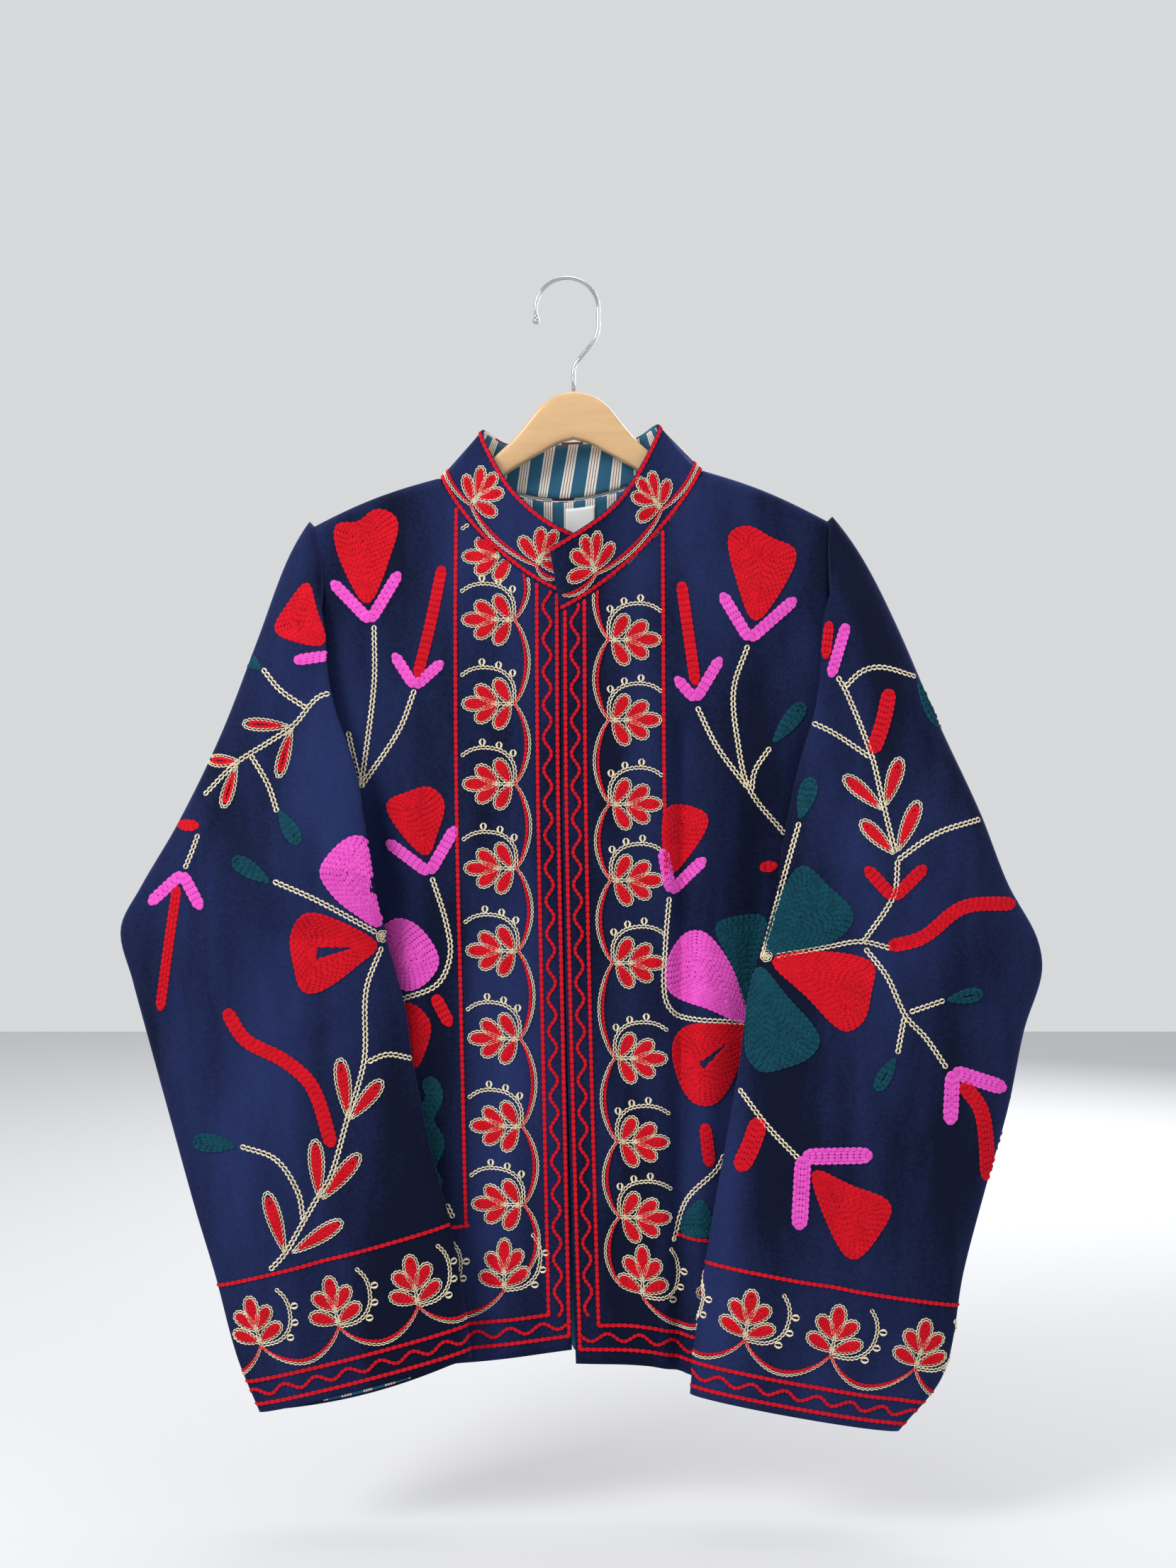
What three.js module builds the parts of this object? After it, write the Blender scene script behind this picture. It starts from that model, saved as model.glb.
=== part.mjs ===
// Embroidered velvet jacket on a wooden hanger, in millimetres, +Z up, the front towards -Y.
// The origin is the inner crest of the hanger's hook. Left is -X and right is +X, seen from the front.
// "down" is always the distance below the origin, so z = -down.
import * as THREE from 'three';

// Driving sizes
const cloth = 2.2; // wall of velvet with its lining
const seam = 0.3; // gap between two pieces at a seam
const lining = 1; // wall of a cotton lining
const underarm = 423; // level of both underarms
const armholeHalf = 26; // half of the armhole's width, front to back
const ridgeRadius = 10; // how fast the cloth falls away from the shoulder seam
const ridgeHalf = 13; // half thickness of the shoulder just below its seam
const shoulderFall = 120; // depth over which the shoulder widens to the body
const middleRidge = 148; // level that the shoulder seams would meet at over the middle
const shoulderBow = 3.5; // rise of the shoulder seam above a straight line
const headPuff = 3.5; // the sleeve head stands this far proud of its seam
const hangerX = 5; // middle of the hanger
const hangerTilt = 0.0115; // rise of the hanger for each mm to the right
const hangerHalf = 6.5; // half thickness of the wood
const wire = 1.5; // radius of the hook's wire
const hookRadius = 24; // bend of the hook, to the middle of the wire

// Points across and along each wall
const armholeRows = 12;
const bodyRows = 9;
const ringPoints = 2 * armholeRows;

// Middle line of the body, where the two front edges meet
const middleLine = [
  { down: 140, x: -5 }, { down: 253, x: -5 }, { down: 400, x: -4 }, { down: 596, x: 0 }, { down: 840, x: 6 },
];

// Half thickness of the body at its middle
const bodyDepth = [
  { down: 140, half: 27 }, { down: 423, half: 27 }, { down: 600, half: 23 }, { down: 840, half: 19 },
];

// Edge of the body, from the shoulder down the armhole and the side seam
const bodyEdge = {
  left: [
    { down: 140, x: 192 }, { down: 188, x: 192 }, { down: 223, x: 183.5 }, { down: 250, x: 183.5 },
    { down: 300, x: 190 }, { down: 350, x: 203 }, { down: 390, x: 222 }, { down: 423, x: 242 },
    { down: 600, x: 235 }, { down: 840, x: 223 },
  ],
  right: [
    { down: 140, x: 198 }, { down: 184, x: 198 }, { down: 214, x: 197 }, { down: 250, x: 198 },
    { down: 300, x: 202 }, { down: 350, x: 212 }, { down: 390, x: 229 }, { down: 423, x: 248 },
    { down: 600, x: 243 }, { down: 840, x: 235 },
  ],
};

// Neck point, shoulder point and the two ends of the neckline, on each side
const top = {
  left: { neckX: 96, neck: 151, shoulder: 188, front: 241, back: 167 },
  right: { neckX: 103, neck: 145.5, shoulder: 184, front: 255, back: 167 },
};
const neckBow = 55; // the front neckline hangs at most 0.3 of this below a straight line

// Hem level from the middle (across 0) to the side seam (across 1)
const hems = {
  left: [{ across: 0, down: 809.5 }, { across: 0.33, down: 819 }, { across: 1, down: 826 }],
  right: [{ across: 0, down: 820 }, { across: 0.24, down: 822 }, { across: 0.39, down: 829 }, { across: 1, down: 836 }],
};

// Half of the gap between the two front edges
const frontGap = [{ down: 240, half: 0.3 }, { down: 600, half: 0.5 }, { down: 840, half: 1.4 }];

// Creases of each panel: a soft trough between two points of its front view. A negative depth is a ridge.
const creases = {
  front_left: [
    { x1: -6, down1: 225, x2: -6, down2: 262, width: 26, depth: 3 },
    { x1: -152, down1: 420, x2: -140, down2: 640, width: 16, depth: 4 },
    { x1: -118, down1: 330, x2: -112, down2: 560, width: 14, depth: -2.5 },
    { x1: -178, down1: 232, x2: -128, down2: 330, width: 11, depth: 3.5 },
    { x1: -70, down1: 520, x2: -64, down2: 800, width: 15, depth: 2 },
  ],
  front_right: [
    { x1: 0, down1: 225, x2: 0, down2: 262, width: 24, depth: -2.5 },
    { x1: 88, down1: 330, x2: 84, down2: 860, width: 7, depth: 9 },
    { x1: 104, down1: 380, x2: 103, down2: 860, width: 12, depth: -3.5 },
    { x1: 192, down1: 232, x2: 140, down2: 335, width: 11, depth: 3.5 },
    { x1: 40, down1: 560, x2: 42, down2: 800, width: 14, depth: 1.5 },
  ],
  back: [
    { x1: -150, down1: 260, x2: -118, down2: 760, width: 17, depth: 4 },
    { x1: 155, down1: 260, x2: 126, down2: 780, width: 16, depth: 4.5 },
    { x1: -52, down1: 420, x2: -46, down2: 860, width: 15, depth: 3 },
    { x1: 60, down1: 380, x2: 66, down2: 860, width: 14, depth: -3 },
  ],
  sleeve_left: [
    { x1: -190, down1: 300, x2: -222, down2: 430, width: 13, depth: 5 },
    { x1: -150, down1: 505, x2: -238, down2: 488, width: 12, depth: 6 },
    { x1: -140, down1: 560, x2: -215, down2: 588, width: 13, depth: 4 },
    { x1: -250, down1: 470, x2: -268, down2: 600, width: 14, depth: -3.5 },
    { x1: -190, down1: 640, x2: -170, down2: 800, width: 14, depth: 3 },
  ],
  sleeve_right: [
    { x1: 198, down1: 300, x2: 236, down2: 440, width: 13, depth: 5 },
    { x1: 160, down1: 512, x2: 262, down2: 500, width: 12, depth: 6 },
    { x1: 340, down1: 560, x2: 268, down2: 545, width: 10, depth: 5 },
    { x1: 152, down1: 590, x2: 226, down2: 612, width: 13, depth: 4 },
    { x1: 205, down1: 650, x2: 190, down2: 830, width: 14, depth: 3 },
    { x1: 268, down1: 800, x2: 232, down2: 860, width: 11, depth: 4 },
  ],
};

// Rings of each sleeve below its head. "out" is the outer edge, "in" the inner edge or the underarm,
// fore and lift push the front of the ring inwards and up, low says how far below its middle.
const sleeveRings = {
  left: [
    { outX: 213, outDown: 215, inX: 248, inDown: 434, y: -3, front: 32, back: 27, fore: 50, lift: 22, low: 0 },
    { outX: 234, outDown: 275, inX: 252, inDown: 446, y: -9, front: 33, back: 24, fore: 72, lift: 18, low: 0.5 },
    { outX: 259, outDown: 345, inX: 238, inDown: 464, y: -19, front: 30, back: 16, fore: 64, lift: 14, low: 0.8 },
    { outX: 289, outDown: 412.5, inX: 192, inDown: 486, y: -33, front: 28, back: 10, fore: 42, lift: 10, low: 1 },
    { outX: 316, outDown: 460, inX: 139, inDown: 488, y: -37, front: 26, back: 10, fore: 14, lift: 16, low: 1 },
    { outX: 331, outDown: 492, inX: 133, inDown: 502, y: -38, front: 25, back: 11, fore: 0, lift: 0, low: 0 },
    { outX: 322, outDown: 530, inX: 126, inDown: 526, y: -38, front: 24, back: 12, fore: 0, lift: 0, low: 0 },
    { outX: 312, outDown: 567, inX: 119, inDown: 553, y: -38, front: 23, back: 12, fore: 0, lift: 0, low: 0 },
    { outX: 298, outDown: 618, inX: 114, inDown: 590, y: -38, front: 22, back: 12, fore: 0, lift: 0, low: 0 },
    { outX: 276, outDown: 698, inX: 99.5, inDown: 660, y: -38, front: 19, back: 12, fore: 0, lift: 0, low: 0 },
    { outX: 261, outDown: 748, inX: 88, inDown: 703, y: -38, front: 17, back: 12, fore: 0, lift: 0, low: 0 },
    { outX: 245, outDown: 808, inX: 76.5, inDown: 765, y: -38, front: 15, back: 12, fore: 0, lift: 0, low: 0 },
    { outX: 228, outDown: 850, inX: 70.5, inDown: 809.4, y: -38, front: 14, back: 11, fore: 0, lift: 0, low: 0 },
  ],
  right: [
    { outX: 225, outDown: 213, inX: 256, inDown: 434, y: -3, front: 32, back: 27, fore: 50, lift: 22, low: 0 },
    { outX: 250, outDown: 265, inX: 262, inDown: 446, y: -9, front: 33, back: 24, fore: 69, lift: 17, low: 0.5 },
    { outX: 279, outDown: 337, inX: 250, inDown: 464, y: -19, front: 30, back: 16, fore: 64, lift: 14, low: 0.8 },
    { outX: 308, outDown: 405, inX: 204, inDown: 487, y: -33, front: 28, back: 10, fore: 42, lift: 11, low: 1 },
    { outX: 328, outDown: 458, inX: 153, inDown: 488, y: -37, front: 26, back: 10, fore: 14, lift: 16, low: 1 },
    { outX: 349, outDown: 497, inX: 145, inDown: 504, y: -38, front: 25, back: 11, fore: 0, lift: 0, low: 0 },
    { outX: 353, outDown: 524, inX: 139, inDown: 522, y: -38, front: 24, back: 12, fore: 0, lift: 0, low: 0 },
    { outX: 340, outDown: 566, inX: 133, inDown: 554, y: -38, front: 23, back: 12, fore: 0, lift: 0, low: 0 },
    { outX: 328, outDown: 624, inX: 128, inDown: 594, y: -38, front: 22, back: 12, fore: 0, lift: 0, low: 0 },
    { outX: 309, outDown: 692, inX: 117, inDown: 658, y: -38, front: 19, back: 12, fore: 0, lift: 0, low: 0 },
    { outX: 295, outDown: 746, inX: 107, inDown: 714, y: -38, front: 17, back: 12, fore: 0, lift: 0, low: 0 },
    { outX: 280, outDown: 822, inX: 96, inDown: 790, y: -38, front: 15, back: 12, fore: 0, lift: 0, low: 0 },
    { outX: 247, outDown: 864, inX: 91.6, inDown: 836.4, y: -38, front: 14, back: 11, fore: 0, lift: 0, low: 0 },
  ],
};
const backDrop = { left: 10, right: 2 }; // the cuff's back wall hangs this far below its front wall

// Top edge of the collar, from its left front end (-1) round the back (0) to its right front end (1)
const collarTop = [
  { round: -1, x: 8, y: -23.5, down: 197 },
  { round: -0.75, x: -20, y: -26.5, down: 182 },
  { round: -0.625, x: -45, y: -19, down: 156 },
  { round: -0.5, x: -65, y: -3, down: 116 },
  { round: -0.25, x: -44, y: 15, down: 123 },
  { round: 0, x: 3, y: 18, down: 121 },
  { round: 0.25, x: 50, y: 15, down: 119 },
  { round: 0.5, x: 70, y: -3, down: 112 },
  { round: 0.625, x: 50, y: -20, down: 154 },
  { round: 0.75, x: 29, y: -30, down: 180 },
  { round: 1, x: -12.6, y: -32.5, down: 208 },
];

// Top and bottom of the wood, by the distance from its middle
const wood = [
  { out: 0, top: 85.3, bottom: 121.5 }, { out: 12, top: 87.5, bottom: 125 }, { out: 25, top: 95.6, bottom: 132 },
  { out: 36, top: 109, bottom: 138.5 }, { out: 47, top: 122, bottom: 145 }, { out: 60, top: 134, bottom: 155 },
  { out: 75, top: 150, bottom: 171 }, { out: 101, top: 162, bottom: 185 }, { out: 150, top: 176, bottom: 199 },
  { out: 197, top: 195, bottom: 213 }, { out: 204, top: 200, bottom: 209 },
];

// Value of a table at a place, on a smooth curve through its rows
function smooth(rows, key, name, place) {
  const last = rows.length - 1;
  const at = Math.min(Math.max(place, rows[0][key]), rows[last][key]);
  let i = 0;
  while (i < last - 1 && at > rows[i + 1][key]) i += 1;
  const slope = (j) => {
    const before = rows[Math.max(j - 1, 0)];
    const after = rows[Math.min(j + 1, last)];
    return (after[name] - before[name]) / (after[key] - before[key]);
  };
  const span = rows[i + 1][key] - rows[i][key];
  const t = (at - rows[i][key]) / span;
  const rest = 1 - t;
  return rows[i][name] * rest * rest * (1 + 2 * t) + rows[i + 1][name] * t * t * (3 - 2 * t)
    + span * t * rest * (slope(i) * rest - slope(i + 1) * t);
}

function mix(a, b, t) {
  return a + (b - a) * t;
}

function ease(t) {
  const s = Math.min(Math.max(t, 0), 1);
  return s * s * (3 - 2 * s);
}

// Depth of all of a panel's creases at a point of its front view
function creaseDepth(name, x, down) {
  let depth = 0;
  for (const c of creases[name]) {
    const dx = c.x2 - c.x1;
    const dd = c.down2 - c.down1;
    const long = Math.hypot(dx, dd);
    const along = ((x - c.x1) * dx + (down - c.down1) * dd) / long;
    const off = ((x - c.x1) * dd - (down - c.down1) * dx) / long;
    const fade = ease((along + c.width) / (4 * c.width)) * ease((long + c.width - along) / (4 * c.width));
    depth += c.depth * fade * Math.exp(-((off / c.width) ** 2));
  }
  return depth;
}

function middleX(down) {
  return smooth(middleLine, 'down', 'x', down);
}

function edgeX(side, down) {
  return (side === 'left' ? -1 : 1) * smooth(bodyEdge[side], 'down', 'x', down);
}

// Share of the way across at which the neck point lies
function neckShare(side) {
  const { neckX, neck } = top[side];
  const sign = side === 'left' ? -1 : 1;
  return (sign * neckX - middleX(neck)) / (edgeX(side, neck) - middleX(neck));
}

function topDown(side, face, across) {
  const t = top[side];
  const share = neckShare(side);
  if (across >= share) {
    const s = (across - share) / (1 - share);
    return mix(t.neck, t.shoulder, s) - shoulderBow * Math.sin(Math.PI * s);
  }
  const s = across / share;
  if (face === 'front') return mix(t.front, t.neck, s) + neckBow * s * (1 - s) ** 0.75;
  return mix(t.neck, t.back, Math.cos(Math.PI / 2 * s) ** 2);
}

// How far the cloth has opened out, at a depth below the shoulder seam
function rise(depth) {
  const near = Math.min(Math.max(depth / ridgeRadius, 0), 1);
  const first = ridgeHalf / bodyDepth[0].half;
  return first * Math.sqrt(1 - (1 - near) ** 2) + (1 - first) * ease(depth / shoulderFall);
}

function armhole(down) {
  const t = Math.min(Math.max((down - 300) / (underarm - 300), 0), 1);
  return armholeHalf * Math.sqrt(1 - t * t);
}

function halfDepth(side, face, across, down) {
  const share = neckShare(side);
  const seamDown = across < share ? mix(middleRidge, top[side].neck, across / share) : topDown(side, face, across);
  const ridge = Math.min(seamDown, down);
  const open = armhole(down);
  const full = smooth(bodyDepth, 'down', 'half', down);
  const settled = open + (full - open) * Math.sqrt(1 - across ** 3);
  return Math.max(seam / 2, settled * rise(down - ridge));
}

// Level of a body row: rows crowd at the shoulder and at the underarm
function rowDown(side, face, across, row) {
  const start = topDown(side, face, across);
  if (row <= armholeRows) return mix(start, underarm, (1 - Math.cos(Math.PI * row / armholeRows)) / 2);
  return mix(underarm, smooth(hems[side], 'across', 'down', across), (row - armholeRows) / bodyRows);
}

// Outer or inner point of a body panel
function bodyPoint(name, side, face, across, row, inside) {
  const down = rowDown(side, face, across, row);
  const sign = side === 'left' ? -1 : 1;
  const gap = face === 'front' ? sign * smooth(frontGap, 'down', 'half', down) : 0;
  const start = middleX(down) + gap;
  const x = mix(start, edgeX(side, down), across);
  const half = halfDepth(side, face, across, down);
  const fromEdge = ease(Math.min(1 - across, 0.12) / 0.12) * ease(half / armholeHalf);
  const depth = Math.max(seam / 2, half - creaseDepth(name, x, down) * fromEdge);
  const out = face === 'front' ? -1 : 1;
  if (!inside) return new THREE.Vector3(x, out * depth, -down);
  const below = row >= armholeRows;
  const inX = below ? x - sign * cloth * across : x;
  const full = smooth(bodyDepth, 'down', 'half', down);
  const thinner = below ? depth * (1 - cloth / full) : depth - cloth;
  if (row > 0) return new THREE.Vector3(inX, out * Math.max(thinner, seam / 2), -down);
  const clear = Math.min(Math.max((depth - seam / 2) / (2 * cloth), 0), 1);
  const inY = mix(seam / 2, thinner, clear);
  return new THREE.Vector3(inX, out * Math.max(inY, seam / 2), -down - cloth * (1 - clear));
}

// Closed wall between an outer and an inner grid of points. A round grid closes on itself.
function wall(outer, inner, round) {
  const rows = outer.length;
  const columns = outer[0].length;
  const positions = [...outer.flat(), ...inner.flat()].flatMap((p) => [p.x, p.y, p.z]);
  const at = (layer, r, c) => layer * rows * columns + r * columns + (c % columns);
  const faces = [];
  const quad = (a, b, c, d) => faces.push(a, b, c, a, c, d);
  const steps = round ? columns : columns - 1;
  for (let c = 0; c < steps; c += 1) {
    for (let r = 0; r < rows - 1; r += 1) {
      quad(at(0, r, c), at(0, r + 1, c), at(0, r + 1, c + 1), at(0, r, c + 1));
      quad(at(1, r, c), at(1, r, c + 1), at(1, r + 1, c + 1), at(1, r + 1, c));
    }
    quad(at(0, 0, c), at(0, 0, c + 1), at(1, 0, c + 1), at(1, 0, c));
    quad(at(0, rows - 1, c), at(1, rows - 1, c), at(1, rows - 1, c + 1), at(0, rows - 1, c + 1));
  }
  for (let r = 0; !round && r < rows - 1; r += 1) {
    quad(at(0, r, 0), at(1, r, 0), at(1, r + 1, 0), at(0, r + 1, 0));
    quad(at(0, r, steps), at(0, r + 1, steps), at(1, r + 1, steps), at(1, r, steps));
  }
  return solid(positions, faces);
}

// Geometry of a closed mesh, turned the right way out
function solid(positions, faces) {
  const p = (i) => new THREE.Vector3().fromArray(positions, 3 * i);
  let volume = 0;
  for (let i = 0; i < faces.length; i += 3) volume += p(faces[i]).dot(p(faces[i + 1]).cross(p(faces[i + 2])));
  const geometry = new THREE.BufferGeometry();
  geometry.setAttribute('position', new THREE.Float32BufferAttribute(positions, 3));
  geometry.setIndex(volume > 0 ? faces : faces.reverse());
  geometry.computeVertexNormals();
  return geometry;
}

// Columns across a panel: even ones, closer ones at the neck point, and closer ones round its deep fold
function columns(side, folds) {
  const even = Array.from({ length: 11 }, (_, i) => i / 10);
  const near = folds.flatMap((x) => [-12, -6, 0, 6, 12].map((step) => (x + step) / edgeX(side, 600)));
  const kept = even.filter((u) => near.every((v) => Math.abs(u - v) > 0.03));
  const neck = [1, 0.97, 0.91].map((part) => part * neckShare(side));
  const all = [...kept, ...near].filter((u) => neck.every((v) => Math.abs(u - v) > 0.03));
  return [...all, ...neck].sort((a, b) => a - b);
}

const acrossLeft = columns('left', []);
const acrossRight = columns('right', [85]);
const rowsOfBody = Array.from({ length: armholeRows + bodyRows + 1 }, (_, r) => r);

function frontPanel(name, side, across) {
  const grid = (inside) => rowsOfBody.map((r) => across.map((u) => bodyPoint(name, side, 'front', u, r, inside)));
  return wall(grid(false), grid(true), false);
}

// The back runs from the left side seam over the middle to the right side seam
const acrossBack = [
  ...acrossLeft.slice().reverse().map((u) => ({ side: 'left', u })),
  ...acrossRight.slice(1).map((u) => ({ side: 'right', u })),
];

function backPanel() {
  const grid = (inside) => rowsOfBody.map(
    (r) => acrossBack.map(({ side, u }) => bodyPoint('back', side, 'back', u, r, inside)),
  );
  return wall(grid(false), grid(true), false);
}

// Point of the armhole at an angle: 0 at the shoulder point, half a turn at the underarm, the front first
function armholePoint(side, angle, inside) {
  const turn = angle / Math.PI;
  const face = turn <= 1 ? 'front' : 'back';
  const row = armholeRows * (turn <= 1 ? turn : 2 - turn);
  const down = rowDown(side, face, 1, row);
  const sign = side === 'left' ? -1 : 1;
  const half = halfDepth(side, face, 1, down) - (inside ? cloth : 0);
  const end = Math.abs(Math.sin(angle)) < 1e-6;
  const out = face === 'front' ? -1 : 1;
  const inward = end && inside ? (turn === 1 ? cloth : -cloth) : 0;
  return new THREE.Vector3(edgeX(side, down) + sign * seam, end ? 0 : out * Math.max(half, 0), -down + inward);
}

// The sleeve head just past its seam
function headPoint(side, angle, inside) {
  const p = armholePoint(side, angle, inside);
  const sign = side === 'left' ? -1 : 1;
  const across = -Math.sin(angle) / armholeHalf;
  const up = Math.cos(angle) / (underarm / 2 - top[side].shoulder / 2);
  const long = Math.hypot(across, up);
  return p.add(new THREE.Vector3(sign * headPuff, headPuff * across / long, headPuff * up / long));
}

function ringPoint(side, ring, angle, inside) {
  const sign = side === 'left' ? -1 : 1;
  const wallIn = inside ? cloth : 0;
  const x = (ring.outX + ring.inX) / 2;
  const down = (ring.outDown + ring.inDown) / 2;
  const long = Math.hypot(ring.inX - ring.outX, ring.inDown - ring.outDown) / 2;
  const reach = Math.cos(angle) * (long - wallIn) / long;
  const sine = Math.sin(angle);
  const push = sine > 0 ? sine * sine * (1 - ring.low * Math.cos(angle)) ** 2 : 0;
  const y = ring.y - sine * ((sine > 0 ? ring.front : ring.back) - wallIn);
  const last = ring === sleeveRings[side][sleeveRings[side].length - 1];
  const drop = last && sine < 0 ? backDrop[side] * sine * sine : 0;
  return new THREE.Vector3(
    sign * (x + reach * (ring.outX - ring.inX) / 2 - push * ring.fore),
    y,
    -(down + reach * (ring.outDown - ring.inDown) / 2 - push * ring.lift + drop),
  );
}

// Rings of the whole sleeve, with smooth ones between those of its table
function sleeveStations(side, angle, inside) {
  return [
    armholePoint(side, angle, inside),
    headPoint(side, angle, inside),
    ...sleeveRings[side].map((ring) => ringPoint(side, ring, angle, inside)),
  ];
}

function sleeveSteps(side) {
  const around = Array.from({ length: 12 }, (_, i) => i * Math.PI / 6);
  const stations = around.map((angle) => sleeveStations(side, angle, false));
  const steps = [0];
  for (let i = 1; i < stations[0].length; i += 1) {
    const mean = stations.reduce((sum, s) => sum + s[i].distanceTo(s[i - 1]), 0) / around.length;
    steps.push(steps[i - 1] + mean);
  }
  return steps;
}

function sleevePoint(side, steps, angle, place, inside) {
  const stations = sleeveStations(side, angle, inside);
  const rows = stations.map((p, i) => ({ along: steps[i], x: p.x, y: p.y, z: p.z }));
  const point = new THREE.Vector3(
    smooth(rows, 'along', 'x', place), smooth(rows, 'along', 'y', place), smooth(rows, 'along', 'z', place),
  );
  const faded = ease((place - steps[1]) / 60) * ease((steps[steps.length - 1] - place) / 25 + 0.35);
  const facing = Math.sin(angle) > 0 ? 1 : -0.6;
  point.y += facing * Math.abs(Math.sin(angle)) * faded * creaseDepth(`sleeve_${side}`, point.x, -point.z);
  return point;
}

function sleeve(side) {
  const steps = sleeveSteps(side);
  const places = [0];
  for (let i = 1; i < steps.length; i += 1) {
    const parts = Math.max(1, Math.round((steps[i] - steps[i - 1]) / 32));
    for (let k = 1; k <= parts; k += 1) places.push(mix(steps[i - 1], steps[i], k / parts));
  }
  const angles = Array.from({ length: ringPoints }, (_, i) => 2 * Math.PI * i / ringPoints);
  const grid = (inside) => places.map((s) => angles.map((a) => sleevePoint(side, steps, a, s, inside)));
  return wall(grid(false), grid(true), true);
}

// Columns of the collar: the columns of the neckline, from the left front round the back to the right front
function collarColumns() {
  const neck = (side, across) => across.filter((u) => u <= neckShare(side) + 1e-9);
  const list = [];
  const add = (side, face, u, round) => list.push({ side, face, u, round });
  const left = neck('left', acrossLeft);
  const right = neck('right', acrossRight);
  left.forEach((u) => add('left', 'front', u, -1 + 0.5 * u / neckShare('left')));
  left.slice(0, -1).reverse().forEach((u) => add('left', 'back', u, -0.5 * u / neckShare('left')));
  right.slice(1).forEach((u) => add('right', 'back', u, 0.5 * u / neckShare('right')));
  right.slice(0, -1).reverse().forEach((u) => add('right', 'front', u, 1 - 0.5 * u / neckShare('right')));
  return list;
}

// Point of the collar's outer face: height 0 at its seam, 1 at its top edge
function collarPoint(column, height) {
  const { side, face, u, round } = column;
  const base = bodyPoint(face === 'front' ? `front_${side}` : 'back', side, face, u, 0, false);
  if (Math.abs(Math.abs(round) - 0.5) < 1e-6) base.y = 0;
  base.z += 0.45;
  const edge = new THREE.Vector3(
    smooth(collarTop, 'round', 'x', round),
    smooth(collarTop, 'round', 'y', round),
    -smooth(collarTop, 'round', 'down', round),
  );
  return base.lerp(edge, height);
}

// Grid of points moved towards the inside of the neck, square to the band
function movedIn(grid, distance) {
  return grid.map((row, r) => row.map((p, c) => {
    const along = row[Math.min(c + 1, row.length - 1)].clone().sub(row[Math.max(c - 1, 0)]);
    const up = grid[Math.min(r + 1, grid.length - 1)][c].clone().sub(grid[Math.max(r - 1, 0)][c]);
    return p.clone().addScaledVector(along.cross(up).normalize(), -distance);
  }));
}

const bandHeights = [0, 0.25, 0.5, 0.75, 1];

function collar() {
  const list = collarColumns();
  const outer = bandHeights.map((h) => list.map((column) => collarPoint(column, h)));
  return wall(outer, movedIn(outer, cloth), false);
}

function collarLining() {
  const list = collarColumns().filter(({ round }) => Math.abs(round) < 0.46);
  const face = [0.03, 0.35, 0.7, 0.95].map((h) => list.map((column) => collarPoint(column, h)));
  return wall(movedIn(face, cloth + 2 * seam), movedIn(face, cloth + 2 * seam + lining), false);
}

// Cotton that lies inside the back, from the neck seam down
function insideBack(levels, across, start, thick) {
  const face = (distance) => levels.map((below) => across.map(({ side, u }) => {
    const down = topDown(side, 'back', u) + below;
    const x = mix(middleX(down), edgeX(side, down), u);
    return new THREE.Vector3(x, halfDepth(side, 'back', u, down) - cloth - distance, -down);
  }));
  return wall(face(start), face(start + thick), false);
}

function backLining() {
  const across = acrossBack.filter(({ side, u }) => u < 0.65 * neckShare(side));
  return insideBack([1, 6, 16, 27, 50, 90, 140], across, 2 * seam, lining);
}

function label() {
  const across = [{ side: 'right', u: 0.02 }, { side: 'right', u: 0.075 }, { side: 'right', u: 0.13 }];
  return insideBack([6, 16, 27], across, 3.5 * seam + lining, 0.6);
}

// Striped lining inside the left cuff
function cuffLining() {
  const steps = sleeveSteps('left');
  const end = steps[steps.length - 1];
  const angles = Array.from({ length: ringPoints }, (_, i) => 2 * Math.PI * i / ringPoints);
  const grid = (distance) => [end - 42, end - 28, end - 14, end - 1].map((s) => angles.map((a) => {
    const p = sleevePoint('left', steps, a, s, true);
    const q = sleevePoint('left', steps, a + Math.PI, s, true);
    return p.addScaledVector(q.sub(p).normalize(), distance);
  }));
  return wall(grid(4 * seam), grid(4 * seam + lining), true);
}

// The wooden hanger: rounded sections along both arms
function hangerWood() {
  const outs = [-204, -201, -197, -186, -170, -150, -125, -101, -86, -75, -60, -47, -36, -25, -18, -12, -6];
  const places = [...outs, 0, ...outs.slice().reverse().map((x) => -x)];
  const corner = 4.5;
  const turns = Array.from({ length: 12 }, (_, i) => (i + 0.5) * Math.PI / 6);
  const sections = places.map((out) => {
    const high = smooth(wood, 'out', 'top', Math.abs(out)) - hangerTilt * out;
    const low = smooth(wood, 'out', 'bottom', Math.abs(out)) - hangerTilt * out;
    const end = Math.abs(out) > 203 ? 0.6 : 1;
    return turns.map((a) => {
      const across = Math.sign(Math.cos(a)) * (hangerHalf * end - corner) + corner * Math.cos(a);
      const up = Math.sign(Math.sin(a)) * ((low - high) / 2 - corner) + corner * Math.sin(a);
      return new THREE.Vector3(hangerX + out, across, up - (high + low) / 2);
    });
  });
  return loft(sections);
}

// Closed solid through rings of points, with a flat cap at each end
function loft(sections) {
  const around = sections[0].length;
  const positions = sections.flat().flatMap((p) => [p.x, p.y, p.z]);
  const faces = [];
  for (let s = 0; s < sections.length - 1; s += 1) {
    for (let i = 0; i < around; i += 1) {
      const a = s * around + i;
      const b = s * around + (i + 1) % around;
      faces.push(a, b, b + around, a, b + around, a + around);
    }
  }
  const last = (sections.length - 1) * around;
  for (let i = 1; i < around - 1; i += 1) faces.push(0, i + 1, i, last, last + i, last + i + 1);
  return solid(positions, faces);
}

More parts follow.
